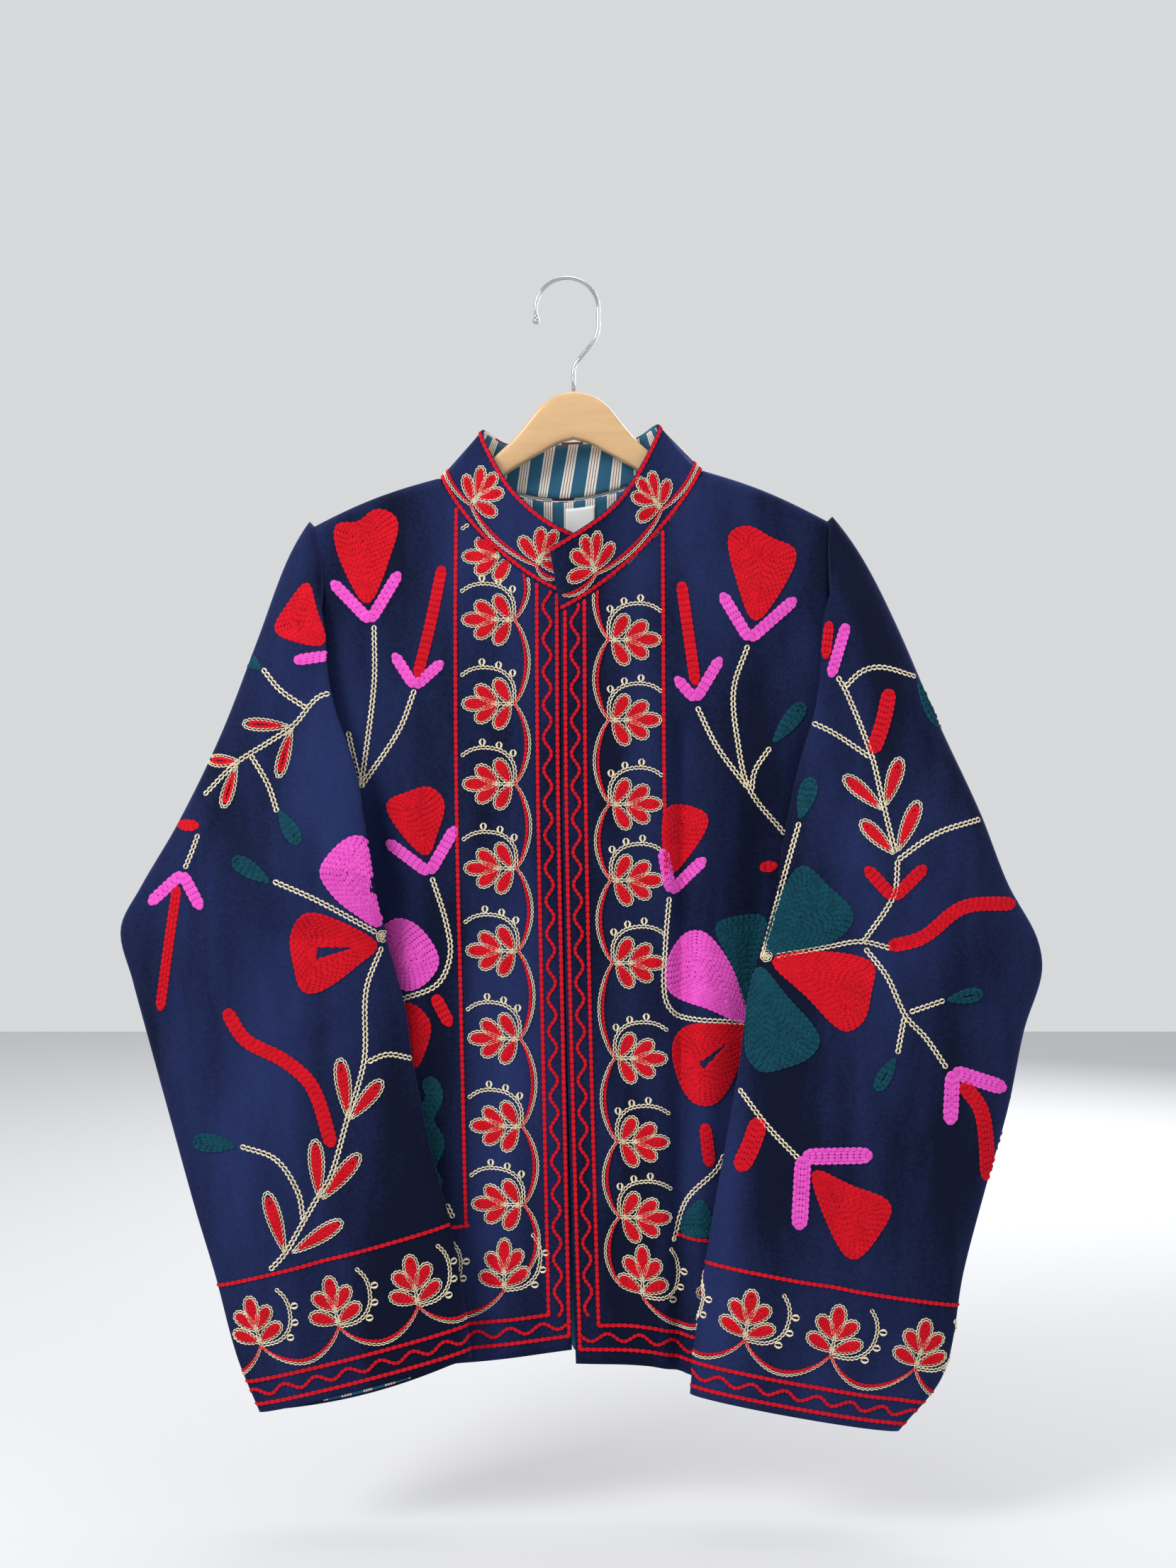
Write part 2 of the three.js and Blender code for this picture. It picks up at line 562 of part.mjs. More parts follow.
// The hook: a bent wire with a small ball at its free end
function hangerHook() {
  const centre = -hookRadius + wire;
  const path = [];
  for (const z of [-84.6, -78, -72, -69]) path.push([hangerX, z]);
  for (const [x, z] of [[6.2, -64.5], [10, -59.5], [16, -52], [21, -45.5], [23.3, -40.5], [24, -34]]) path.push([x, z]);
  for (let a = -10; a <= 195; a += 10) {
    const turn = a * Math.PI / 180;
    path.push([hookRadius * Math.cos(turn), centre + hookRadius * Math.sin(turn)]);
  }
  const sizes = path.map(() => wire);
  const [tipX, tipZ] = path[path.length - 1];
  for (const [step, size] of [[1, 2.4], [2.6, 2.8], [4.2, 2.4], [5, 1.2]]) {
    path.push([tipX - 0.1 * step, tipZ - step]);
    sizes.push(size);
  }
  const sections = path.map(([x, z], i) => {
    const [ax, az] = path[Math.max(i - 1, 0)];
    const [bx, bz] = path[Math.min(i + 1, path.length - 1)];
    const long = Math.hypot(bx - ax, bz - az);
    return Array.from({ length: 8 }, (_, k) => {
      const turn = k * Math.PI / 4;
      const side = sizes[i] * Math.cos(turn);
      return new THREE.Vector3(x + side * (bz - az) / long, sizes[i] * Math.sin(turn), z - side * (bx - ax) / long);
    });
  });
  return loft(sections);
}

// Finishes
const velvet = new THREE.MeshStandardMaterial({ color: 0x1a2550, roughness: 0.9 });
const cotton = new THREE.MeshStandardMaterial({ color: 0x145573, roughness: 0.85 });
const plain = new THREE.MeshStandardMaterial({ color: 0xe8e8e6, roughness: 0.8 });
const varnished = new THREE.MeshStandardMaterial({ color: 0xe1be8c, roughness: 0.35 });
const chromed = new THREE.MeshStandardMaterial({ color: 0xb8babd, roughness: 0.18, metalness: 1 });

const jacket = new THREE.Group();

function add(name, geometry, material) {
  const mesh = new THREE.Mesh(geometry, material);
  mesh.name = name;
  jacket.add(mesh);
}

add('front_left', frontPanel('front_left', 'left', acrossLeft), velvet);
add('front_right', frontPanel('front_right', 'right', acrossRight), velvet);
add('back', backPanel(), velvet);
add('sleeve_left', sleeve('left'), velvet);
add('sleeve_right', sleeve('right'), velvet);
add('collar', collar(), velvet);
add('collar_lining', collarLining(), cotton);
add('back_lining', backLining(), cotton);
add('cuff_lining_left', cuffLining(), cotton);
add('label', label(), plain);
add('hanger_wood', hangerWood(), varnished);
add('hanger_hook', hangerHook(), chromed);

export default jacket;
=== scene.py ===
import bmesh
import bpy
import numpy as np
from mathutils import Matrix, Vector
from mathutils.bvhtree import BVHTree


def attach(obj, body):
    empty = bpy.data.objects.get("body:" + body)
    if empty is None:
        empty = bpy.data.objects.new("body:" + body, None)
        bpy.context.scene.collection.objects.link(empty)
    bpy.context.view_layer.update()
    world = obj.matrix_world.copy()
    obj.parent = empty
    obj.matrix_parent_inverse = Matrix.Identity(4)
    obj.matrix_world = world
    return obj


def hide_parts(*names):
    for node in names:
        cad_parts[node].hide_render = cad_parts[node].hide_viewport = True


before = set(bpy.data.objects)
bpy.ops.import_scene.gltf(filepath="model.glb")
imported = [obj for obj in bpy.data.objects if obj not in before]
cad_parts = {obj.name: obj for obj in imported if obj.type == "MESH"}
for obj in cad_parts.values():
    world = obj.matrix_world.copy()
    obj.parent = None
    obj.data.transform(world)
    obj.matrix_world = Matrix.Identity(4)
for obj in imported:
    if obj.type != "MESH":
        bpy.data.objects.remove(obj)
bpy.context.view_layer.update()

# The body of the jacket: two fronts that meet in the middle and a one-piece back, cut from navy cotton
# velvet, lined with striped cotton and sewn together at the shoulders and sides. Sizes are millimetres,
# and "down" is the distance below the crest of the hanger's hook. Left is -X.
METRE = 0.001
VELVET_THICK = 2.2
SEAM = 0.3
UNDERARM = 423
ARMHOLE_HALF = 26
RIDGE_RADIUS = 10
RIDGE_HALF = 13
SHOULDER_FALL = 120
MIDDLE_RIDGE = 148
SHOULDER_BOW = 3.5
SHOULDER_ROWS = 12
LOWER_ROWS = 9


def smooth(keys, values, place):
    """Values at the places, on smooth curves through the rows at the keys.
    Values in two dimensions have one column for each place."""
    keys, values, place = (np.asarray(a, float) for a in (keys, values, place))
    flat = values.ndim == 1
    slope = np.empty_like(values)
    spans = keys[2:] - keys[:-2]
    slope[1:-1] = (values[2:] - values[:-2]) / (spans if flat else spans[:, None])
    slope[0] = (values[1] - values[0]) / (keys[1] - keys[0])
    slope[-1] = (values[-1] - values[-2]) / (keys[-1] - keys[-2])
    at = np.clip(place, keys[0], keys[-1])
    i = np.clip(np.searchsorted(keys, at) - 1, 0, len(keys) - 2)

    def row(table, k):
        return table[k] if flat else table[k, np.arange(len(at))]

    span = keys[i + 1] - keys[i]
    t = (at - keys[i]) / span
    rest = 1 - t
    ends = row(values, i) * rest**2 * (1 + 2 * t) + row(values, i + 1) * t**2 * (3 - 2 * t)
    return ends + span * t * rest * (row(slope, i) * rest - row(slope, i + 1) * t)


def curve_of(*table):
    """A smooth function through (key, value) rows."""
    keys, values = zip(*table)
    return lambda place: smooth(keys, values, place)


def mix(a, b, t):
    return a + (b - a) * t


def ease(t):
    s = np.clip(t, 0, 1)
    return s * s * (3 - 2 * s)


middle_x = curve_of((140, -5), (253, -5), (400, -4), (596, 0), (840, 6))
body_half = curve_of((140, 27), (423, 27), (600, 23), (840, 19))
front_gap = curve_of((240, 0.3), (600, 0.5), (840, 1.4))
body_edge = {
    "left": curve_of(
        (140, 192), (188, 192), (223, 183.5), (250, 183.5), (300, 190),
        (350, 203), (390, 222), (423, 242), (600, 235), (840, 223),
    ),
    "right": curve_of(
        (140, 198), (184, 198), (214, 197), (250, 198), (300, 202),
        (350, 212), (390, 229), (423, 248), (600, 243), (840, 235),
    ),
}
hem_level = {
    "left": curve_of((0, 809.5), (0.33, 819), (1, 826)),
    "right": curve_of((0, 820), (0.24, 822), (0.39, 829), (1, 836)),
}
NECKLINE = {
    "left": {"neck_x": 96, "neck": 151, "shoulder": 188, "front": 241, "back": 167},
    "right": {"neck_x": 103, "neck": 145.5, "shoulder": 184, "front": 255, "back": 167},
}
NECK_BOW = 55
SIGN = {"left": -1, "right": 1}

# Soft troughs of the hanging cloth: both ends in the front view, width and depth. A negative one is a ridge.
CREASES = {
    "front_left": [
        (-6, 225, -6, 262, 26, 3), (-152, 380, -138, 700, 15, 7), (-120, 300, -112, 640, 13, -4),
        (-178, 232, -128, 330, 11, 3.5), (-70, 480, -62, 815, 14, 4), (-95, 640, -90, 830, 10, -3),
    ],
    "front_right": [
        (0, 225, 0, 262, 24, -2.5), (88, 330, 84, 860, 7, 9), (104, 380, 103, 860, 12, -3.5),
        (192, 232, 140, 335, 11, 3.5), (40, 520, 44, 815, 13, 4), (148, 380, 132, 640, 14, 5),
    ],
    "back": [
        (-150, 260, -118, 760, 17, 4), (155, 260, 126, 780, 16, 4.5), (-52, 420, -46, 860, 15, 3),
        (60, 380, 66, 860, 14, -3),
    ],
    "sleeve_left": [
        (-190, 300, -222, 430, 13, 5), (-150, 505, -238, 488, 12, 6), (-140, 560, -215, 588, 13, 4),
        (-250, 470, -268, 600, 14, -3.5), (-190, 640, -170, 800, 14, 3),
    ],
    "sleeve_right": [
        (198, 300, 236, 440, 13, 5), (160, 512, 262, 500, 12, 6), (340, 560, 268, 545, 10, 5),
        (152, 590, 226, 612, 13, 4), (205, 650, 190, 830, 14, 3), (268, 800, 232, 860, 11, 4),
    ],
}


def crease_depth(name, x, down):
    depth = np.zeros_like(x)
    for x1, down1, x2, down2, width, deep in CREASES[name]:
        long = np.hypot(x2 - x1, down2 - down1)
        along = ((x - x1) * (x2 - x1) + (down - down1) * (down2 - down1)) / long
        off = ((x - x1) * (down2 - down1) - (down - down1) * (x2 - x1)) / long
        fade = ease((along + width) / (4 * width)) * ease((long + width - along) / (4 * width))
        depth += deep * fade * np.exp(-((off / width) ** 2))
    return depth


def edge_x(side, down):
    return SIGN[side] * body_edge[side](down)


def neck_share(side):
    """Share of the way across at which the neck point lies."""
    cut = NECKLINE[side]
    middle = middle_x(cut["neck"])
    return (SIGN[side] * cut["neck_x"] - middle) / (edge_x(side, cut["neck"]) - middle)


def top_down(side, face, across):
    cut = NECKLINE[side]
    share = neck_share(side)
    s = np.clip((across - share) / (1 - share), 0, 1)
    shoulder = mix(cut["neck"], cut["shoulder"], s) - SHOULDER_BOW * np.sin(np.pi * s)
    inner = np.clip(across / share, 0, 1)
    if face == "front":
        neckline = mix(cut["front"], cut["neck"], inner) + NECK_BOW * inner * (1 - inner) ** 0.75
    else:
        neckline = mix(cut["neck"], cut["back"], np.cos(np.pi / 2 * inner) ** 2)
    return np.where(across >= share, shoulder, neckline)


def half_depth(side, face, across, down):
    share = neck_share(side)
    inner = mix(MIDDLE_RIDGE, NECKLINE[side]["neck"], across / share)
    ridge = np.minimum(np.where(across < share, inner, top_down(side, face, across)), down)
    below = np.clip((down - 300) / (UNDERARM - 300), 0, 1)
    armhole = ARMHOLE_HALF * np.sqrt(1 - below**2)
    settled = armhole + (body_half(down) - armhole) * np.sqrt(1 - across**3)
    near = np.clip((down - ridge) / RIDGE_RADIUS, 0, 1)
    first = RIDGE_HALF / body_half(0)
    opened = first * np.sqrt(1 - (1 - near) ** 2) + (1 - first) * ease((down - ridge) / SHOULDER_FALL)
    return np.maximum(SEAM / 2, settled * opened)


def row_down(side, face, across, row):
    """Level of a row: rows crowd at the shoulder and at the underarm."""
    start = top_down(side, face, across)
    upper = mix(start, UNDERARM, (1 - np.cos(np.pi * np.minimum(row / SHOULDER_ROWS, 1))) / 2)
    lower = mix(UNDERARM, hem_level[side](across), (row - SHOULDER_ROWS) / LOWER_ROWS)
    return np.where(row <= SHOULDER_ROWS, upper, lower)


def body_point(name, side, face, across, row):
    down = row_down(side, face, across, row)
    gap = SIGN[side] * front_gap(down) if face == "front" else 0
    x = mix(middle_x(down) + gap, edge_x(side, down), across)
    half = half_depth(side, face, across, down)
    from_edge = ease(np.minimum(1 - across, 0.12) / 0.12) * ease(half / ARMHOLE_HALF)
    depth = np.maximum(SEAM / 2, half - crease_depth(name, x, down) * from_edge)
    return np.stack([x, depth * (-1 if face == "front" else 1), -down], axis=1)


class Wire:
    """A shader socket that can be added and multiplied."""

    def __init__(self, paint, socket):
        self.paint = paint
        self.socket = socket

    def sum(self, operation, first, second):
        return self.paint.node("ShaderNodeMath", {"operation": operation}, {0: first, 1: second})

    def __add__(self, other):
        return self.sum("ADD", self, other)

    def __mul__(self, other):
        return self.sum("MULTIPLY", self, other)

    __radd__ = __add__
    __rmul__ = __mul__


class Paint:
    """One material, whose nodes are made by a single method."""

    def __init__(self, name, **shader):
        self.material = bpy.data.materials.new(name)
        self.material.use_nodes = True
        self.tree = self.material.node_tree
        self.shader = self.tree.nodes["Principled BSDF"]
        self.wear(**shader)

    def feed(self, socket, value):
        if isinstance(value, Wire):
            self.tree.links.new(value.socket, socket)
        else:
            socket.default_value = value

    def node(self, kind, settings, inputs, output=0):
        made = self.tree.nodes.new(kind)
        for key, value in settings.items():
            if key == "stops":
                while len(made.color_ramp.elements) < len(value):
                    made.color_ramp.elements.new(1)
                for element, (position, colour) in zip(made.color_ramp.elements, value):
                    element.position = position
                    element.color = colour
            elif key == "steps":
                made.color_ramp.interpolation = value
            else:
                setattr(made, key, value)
        for key, value in inputs.items():
            self.feed(made.inputs[key], value)
        return Wire(self, made.outputs[output])

    def places(self, scale=(1, 1, 1), kind="Object"):
        spot = self.node("ShaderNodeTexCoord", {}, {}, kind)
        return self.node("ShaderNodeMapping", {}, {"Vector": spot, "Scale": scale})

    def noise(self, scale, detail=3.0, places=None):
        inputs = {"Vector": places or self.places(), "Scale": scale, "Detail": detail}
        return self.node("ShaderNodeTexNoise", {}, inputs)

    def blend(self, share, first, second):
        settings = {"data_type": "RGBA"}
        return self.node("ShaderNodeMix", settings, {0: share, 6: first, 7: second}, 2)

    def wear(self, **values):
        for socket, value in values.items():
            self.feed(self.shader.inputs[socket.replace("_", " ").title().replace("Ior", "IOR")], value)

    def rough_up(self, height, strength, distance):
        """Fine relief from a height."""
        settings = {"Strength": strength, "Distance": distance, "Height": height}
        self.wear(normal=self.node("ShaderNodeBump", {}, settings))


def rgb(red, green, blue):
    """A colour as a screen shows it, as the shader takes it."""
    shown = np.array([red, green, blue]) / 255
    linear = np.where(shown <= 0.04045, shown / 12.92, ((shown + 0.055) / 1.055) ** 2.4)
    return (*(float(c) for c in linear), 1.0)


velvet = Paint("velvet", roughness=0.9, sheen_weight=0.3, sheen_roughness=0.35, sheen_tint=rgb(120, 138, 225))
velvet.wear(specular_ior_level=0.08)
# Painted sheen: tall vertical bands of noise lighten the navy velvet as if its folds caught the light. Fine
# nap noise adds a little grain to the same mix.
painted_sheen_bands = velvet.noise(12, 4, velvet.places((1, 1, 0.22)))
nap = velvet.noise(420, 2)
sheen_and_nap_share = velvet.node("ShaderNodeMapRange", {}, {0: painted_sheen_bands * 0.86 + nap * 0.14, 1: 0.4, 2: 0.66})
velvet.wear(base_color=velvet.blend(sheen_and_nap_share, rgb(11, 17, 39), rgb(36, 47, 93)))
velvet.rough_up(velvet.noise(1500, 2), 0.3, 0.0006)

STRIPE_PERIOD = 15.5
TEAL, WHITE, MAROON = rgb(20, 85, 115), rgb(226, 222, 210), rgb(112, 28, 46)
striped_cotton = Paint("striped_lining", roughness=0.85, sheen_weight=0.1)
across_cloth = striped_cotton.node("ShaderNodeSeparateXYZ", {}, {0: striped_cotton.places(kind="UV")})
turns = across_cloth * (1 / (STRIPE_PERIOD * METRE))
phase = striped_cotton.node("ShaderNodeMath", {"operation": "FRACT"}, {0: turns})
stripes = [
    (0.0, TEAL), (0.04, WHITE), (0.125, MAROON), (0.155, WHITE), (0.24, MAROON), (0.27, WHITE),
    (0.355, MAROON), (0.385, WHITE), (0.47, TEAL),
]
weave = striped_cotton.node("ShaderNodeValToRGB", {"steps": "CONSTANT", "stops": stripes}, {0: phase})
worn = striped_cotton.noise(60, 3) * 0.25
striped_cotton.wear(base_color=striped_cotton.blend(worn, weave, rgb(16, 52, 78)))
striped_cotton.rough_up(striped_cotton.noise(1800, 1), 0.25, 0.0004)

# In metres: points nearer than the first are one, and the pattern on a tube is as wide as the second.
WELD = 1e-6
TUBE_WIDTH = 0.4
meshes = {}


def cloth_piece(
    name, columns, rows, place, turned=False, closed=False, thick=VELVET_THICK, paints=None, shift=0,
):
    """A thin shell of cloth: a grid of points laid out by place(u, v), with its back moved inwards."""
    bm = bmesh.new()
    bmesh.ops.create_grid(bm, x_segments=columns, y_segments=rows, size=0.5)
    spots = np.array([v.co for v in bm.verts])
    u, v = np.clip(spots[:, 0] + 0.5, 0, 1), np.clip(spots[:, 1] + 0.5, 0, 1)
    laid = place(u, v) * METRE
    width = np.hypot(*(place(np.array([0.0, 1.0, 0.5]), np.full(3, 0.5))[:2, :2] * METRE).ptp(axis=0))
    if closed:
        width = TUBE_WIDTH
    uv = bm.loops.layers.uv.new("cloth")
    for vertex, spot in zip(bm.verts, laid):
        vertex.co = spot
    for face in bm.faces:
        for loop in face.loops:
            loop[uv].uv = (u[loop.vert.index] * width, laid[loop.vert.index][2])
    if closed:
        bmesh.ops.remove_doubles(bm, verts=bm.verts, dist=WELD)
    if turned:
        bmesh.ops.reverse_faces(bm, faces=bm.faces)
    bm.normal_update()
    if shift:
        for vertex in bm.verts:
            vertex.co -= vertex.normal * shift * METRE
    for face in bm.faces:
        face.smooth = True
    mesh = bpy.data.meshes.new(name)
    bm.to_mesh(mesh)
    piece = bpy.data.objects.new(name, mesh)
    bpy.context.collection.objects.link(piece)
    for paint in paints or (velvet, striped_cotton):
        mesh.materials.append(paint.material)
    shell = piece.modifiers.new("thickness", "SOLIDIFY")
    shell.thickness = thick * METRE
    shell.offset = -1
    shell.material_offset = len(mesh.materials) - 1
    meshes[name] = BVHTree.FromBMesh(bm)
    bm.free()
    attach(piece, "root")
    return piece


ALL_ROWS = SHOULDER_ROWS + LOWER_ROWS


def front_place(side):
    return lambda u, v: body_point(f"front_{side}", side, "front", u, v * ALL_ROWS)


def back_place(u, v):
    across = 2 * u - 1
    left = body_point("back", "left", "back", np.clip(-across, 0, 1), v * ALL_ROWS)
    right = body_point("back", "right", "back", np.clip(across, 0, 1), v * ALL_ROWS)
    return np.where((across < 0)[:, None], left, right)


body_pieces = {
    "front_left": (cloth_piece("velvet_front_left", 60, 120, front_place("left")), (0.25, 0.69), 0.131),
    "front_right": (
        cloth_piece("velvet_front_right", 60, 120, front_place("right"), turned=True), (0.26, 0.70), 0.139,
    ),
    "back": (cloth_piece("velvet_back", 100, 104, back_place), (0.50, 0.69), 0.277),
}
for node, (piece, flat, area) in body_pieces.items():
    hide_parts(node)

# The sleeves: wide tubes of the same velvet, set into the armholes. Each drops in front of the body,
# bends at the elbow and ends in an open cuff. Rows of the tables are rings from the head to the cuff:
# outer edge x and down, inner edge x and down, middle y, reach to the front and to the back, and how
# far the front of the ring is pushed inwards and up, and how much lower than its middle.
SLEEVE_RINGS = {
    "left": [
        (213, 215, 248, 434, -3, 32, 27, 50, 22, 0), (234, 275, 252, 446, -9, 33, 24, 72, 18, 0.5),
        (259, 345, 238, 464, -19, 30, 16, 64, 14, 0.8), (289, 412.5, 192, 486, -33, 28, 10, 42, 10, 1),
        (316, 460, 139, 488, -37, 26, 10, 14, 16, 1), (331, 492, 133, 502, -38, 25, 11, 0, 0, 0),
        (322, 530, 126, 526, -38, 24, 12, 0, 0, 0), (312, 567, 119, 553, -38, 23, 12, 0, 0, 0),
        (298, 618, 114, 590, -38, 22, 12, 0, 0, 0), (276, 698, 99.5, 660, -38, 19, 12, 0, 0, 0),
        (261, 748, 88, 703, -38, 17, 12, 0, 0, 0), (245, 808, 76.5, 765, -38, 15, 12, 0, 0, 0),
        (228, 850, 70.5, 809.4, -38, 14, 11, 0, 0, 0),
    ],
    "right": [
        (225, 213, 256, 434, -3, 32, 27, 50, 22, 0), (250, 265, 262, 446, -9, 33, 24, 69, 17, 0.5),
        (279, 337, 250, 464, -19, 30, 16, 64, 14, 0.8), (308, 405, 204, 487, -33, 28, 10, 42, 11, 1),
        (328, 458, 153, 488, -37, 26, 10, 14, 16, 1), (349, 497, 145, 504, -38, 25, 11, 0, 0, 0),
        (353, 524, 139, 522, -38, 24, 12, 0, 0, 0), (340, 566, 133, 554, -38, 23, 12, 0, 0, 0),
        (328, 624, 128, 594, -38, 22, 12, 0, 0, 0), (309, 692, 117, 658, -38, 19, 12, 0, 0, 0),
        (295, 746, 107, 714, -38, 17, 12, 0, 0, 0), (280, 822, 96, 790, -38, 15, 12, 0, 0, 0),
        (247, 864, 91.6, 836.4, -38, 14, 11, 0, 0, 0),
    ],
}
BACK_DROP = {"left": 10, "right": 2}
HEAD_PUFF = 3.5


def armhole_point(side, angle):
    """Angle 0 is the shoulder point and half a turn the underarm, the front first."""
    turn = angle / np.pi
    row = SHOULDER_ROWS * np.where(turn <= 1, turn, 2 - turn)
    ones = np.ones_like(angle)
    down = row_down(side, "front", ones, row)
    half = half_depth(side, "front", ones, down)
    y = -np.sign(np.sin(angle)) * half * (np.abs(np.sin(angle)) > 1e-6)
    return np.stack([edge_x(side, down) + SIGN[side] * SEAM, y, -down], axis=1)


def ring_point(side, ring, angle):
    out_x, out_down, in_x, in_down, y, front, back, fore, lift, low = ring
    cosine, sine = np.cos(angle), np.sin(angle)
    push = np.where(sine > 0, sine**2 * (1 - low * cosine) ** 2, 0)
    drop = BACK_DROP[side] * sine**2 * (sine < 0) if ring is SLEEVE_RINGS[side][-1] else 0
    x = (out_x + in_x) / 2 + cosine * (out_x - in_x) / 2 - push * fore
    down = (out_down + in_down) / 2 + cosine * (out_down - in_down) / 2 - push * lift + drop
    return np.stack([SIGN[side] * x, y - sine * np.where(sine > 0, front, back), -down], axis=1)


def sleeve_stations(side, angle):
    """Points of every ring at the angles: (ring, angle, x y z)."""
    seam_line = armhole_point(side, angle)
    across = -np.sin(angle) / ARMHOLE_HALF
    up = np.cos(angle) / ((UNDERARM - NECKLINE[side]["shoulder"]) / 2)
    long = np.hypot(across, up)
    puff = np.stack([SIGN[side] * np.ones_like(angle), across / long, up / long], axis=1) * HEAD_PUFF
    return np.stack([seam_line, seam_line + puff, *(ring_point(side, r, angle) for r in SLEEVE_RINGS[side])])


def sleeve_steps(side):
    """Mean length of the sleeve from its seam to each ring."""
    stations = sleeve_stations(side, np.arange(12) * np.pi / 6)
    return np.concatenate([[0], np.cumsum(np.linalg.norm(np.diff(stations, axis=0), axis=2).mean(axis=1))])


STEPS = {side: sleeve_steps(side) for side in SIGN}


def sleeve_point(side, angle, along):
    stations = sleeve_stations(side, angle)
    point = np.stack([smooth(STEPS[side], stations[:, :, k], along) for k in range(3)], axis=1)
    faded = ease((along - STEPS[side][1]) / 60) * ease((STEPS[side][-1] - along) / 25 + 0.35)
    facing = np.where(np.sin(angle) > 0, 1, -0.6) * np.abs(np.sin(angle))
    point[:, 1] += facing * faded * crease_depth(f"sleeve_{side}", point[:, 0], -point[:, 2])
    return point


def sleeve_place(side):
    return lambda u, v: sleeve_point(side, 2 * np.pi * u, STEPS[side][-1] * v)


for side in SIGN:
    piece = cloth_piece(
        f"velvet_sleeve_{side}", 88, 124, sleeve_place(side),
        turned=side == "left", closed=True, paints=(velvet,),
    )
    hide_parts(f"sleeve_{side}")

# The collar: a standing band of velvet, sewn to the neckline and edged with red chain stitch. Its right
# front end lies over the left one. Round runs from the left front end (-1) over the back (0) to the right
# front end (1), with the shoulder seams halfway.
COLLAR_TOP = [
    (-1, 8, -23.5, 197), (-0.75, -20, -26.5, 182), (-0.625, -45, -19, 156), (-0.5, -65, -3, 116),
    (-0.25, -44, 15, 123), (0, 3, 18, 121), (0.25, 50, 15, 119), (0.5, 70, -3, 112), (0.625, 50, -20, 154),
    (0.75, 29, -30, 180), (1, -12.6, -32.5, 208),
]
SEAM_LIFT = 0.45
SHOULDER_ROUND = 0.5


def collar_point(round_, height):
    base = np.zeros((len(round_), 3))
    for side, chosen in (("left", round_ < 0), ("right", round_ >= 0)):
        far = np.abs(round_)
        ahead = far > SHOULDER_ROUND
        for face, part in (("front", chosen & ahead), ("back", chosen & ~ahead)):
            share = np.where(ahead, 1 - far, far) / SHOULDER_ROUND * neck_share(side)
            name = f"front_{side}" if face == "front" else "back"
            points = body_point(name, side, face, share, np.zeros_like(share))
            base[part] = points[part]
    base[:, 1] = np.where(np.abs(np.abs(round_) - SHOULDER_ROUND) < 1e-3, 0, base[:, 1])
    base[:, 2] += SEAM_LIFT
    rounds, x, y, down = (np.array(column) for column in zip(*COLLAR_TOP))
    top = np.stack([smooth(rounds, values, round_) for values in (x, y, -down)], axis=1)
    return mix(base, top, height[:, None])


collar = cloth_piece("velvet_collar", 128, 14, lambda u, v: collar_point(2 * u - 1, v), turned=True)
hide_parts("collar")

# The linings that show: striped cotton inside the back of the collar, below it inside the back, and
# inside the left cuff. They are sewn in along the seams. A bare white tab is sewn under the neck seam.
LINING_THICK = 1.0
LINED_ROUND = 0.46
LINED_ACROSS = 0.65
CUFF_LINED = (42, 1)


def inside_back(levels, reach, start):
    """Cloth that lies inside the back, from the neck seam down."""
    def place(u, v):
        signed = mix(reach[0], reach[1], u)
        found = np.zeros((len(u), 3))
        for side, part in (("left", signed < 0), ("right", signed >= 0)):
            across = np.abs(signed)
            down = top_down(side, "back", across) + mix(levels[0], levels[1], v)
            x = mix(middle_x(down), edge_x(side, down), across)
            y = half_depth(side, "back", across, down) - VELVET_THICK - start
            found[part] = np.stack([x, y, -down], axis=1)[part]
        return found
    return place


def cuff_inside(u, v):
    along = STEPS["left"][-1] - mix(*CUFF_LINED, v)
    near = sleeve_point("left", 2 * np.pi * u, along)
    far = sleeve_point("left", (2 * np.pi * u + np.pi) % (2 * np.pi), along)
    inward = (far - near) / np.linalg.norm(far - near, axis=1)[:, None]
    return near + inward * (VELVET_THICK + 4 * SEAM)


collar_lining = cloth_piece(
    "cotton_collar_lining", 90, 10, lambda u, v: collar_point(LINED_ROUND * (2 * u - 1), mix(0.03, 0.95, v)),
    turned=True, thick=LINING_THICK, paints=(striped_cotton,), shift=VELVET_THICK + 2 * SEAM,
)
back_reach = (-LINED_ACROSS * neck_share("left"), LINED_ACROSS * neck_share("right"))
back_lining = cloth_piece(
    "cotton_back_lining", 60, 40, inside_back((1, 140), back_reach, 2 * SEAM),
    thick=LINING_THICK, paints=(striped_cotton,),
)
cuff_lining = cloth_piece(
    "cotton_cuff_lining", 96, 14, cuff_inside,
    turned=True, closed=True, thick=LINING_THICK, paints=(striped_cotton,),
)
for piece, node, flat, under in (
    (collar_lining, "collar_lining", (0.18, 0.04), "velvet_collar"),
    (back_lining, "back_lining", (0.13, 0.14), "velvet_back"),
    (cuff_lining, "cuff_lining_left", (0.34, 0.042), "velvet_sleeve_left"),
):
    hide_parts(node)

label_weave = Paint("label", roughness=0.8, base_color=rgb(232, 232, 230))
label_weave.rough_up(label_weave.noise(2500, 1), 0.3, 0.0003)
label = cloth_piece(
    "neck_label", 12, 8, inside_back((6, 27), (0.02, 0.13), 3.5 * SEAM + LINING_THICK),
    thick=0.6, paints=(label_weave,),
)
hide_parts("label")

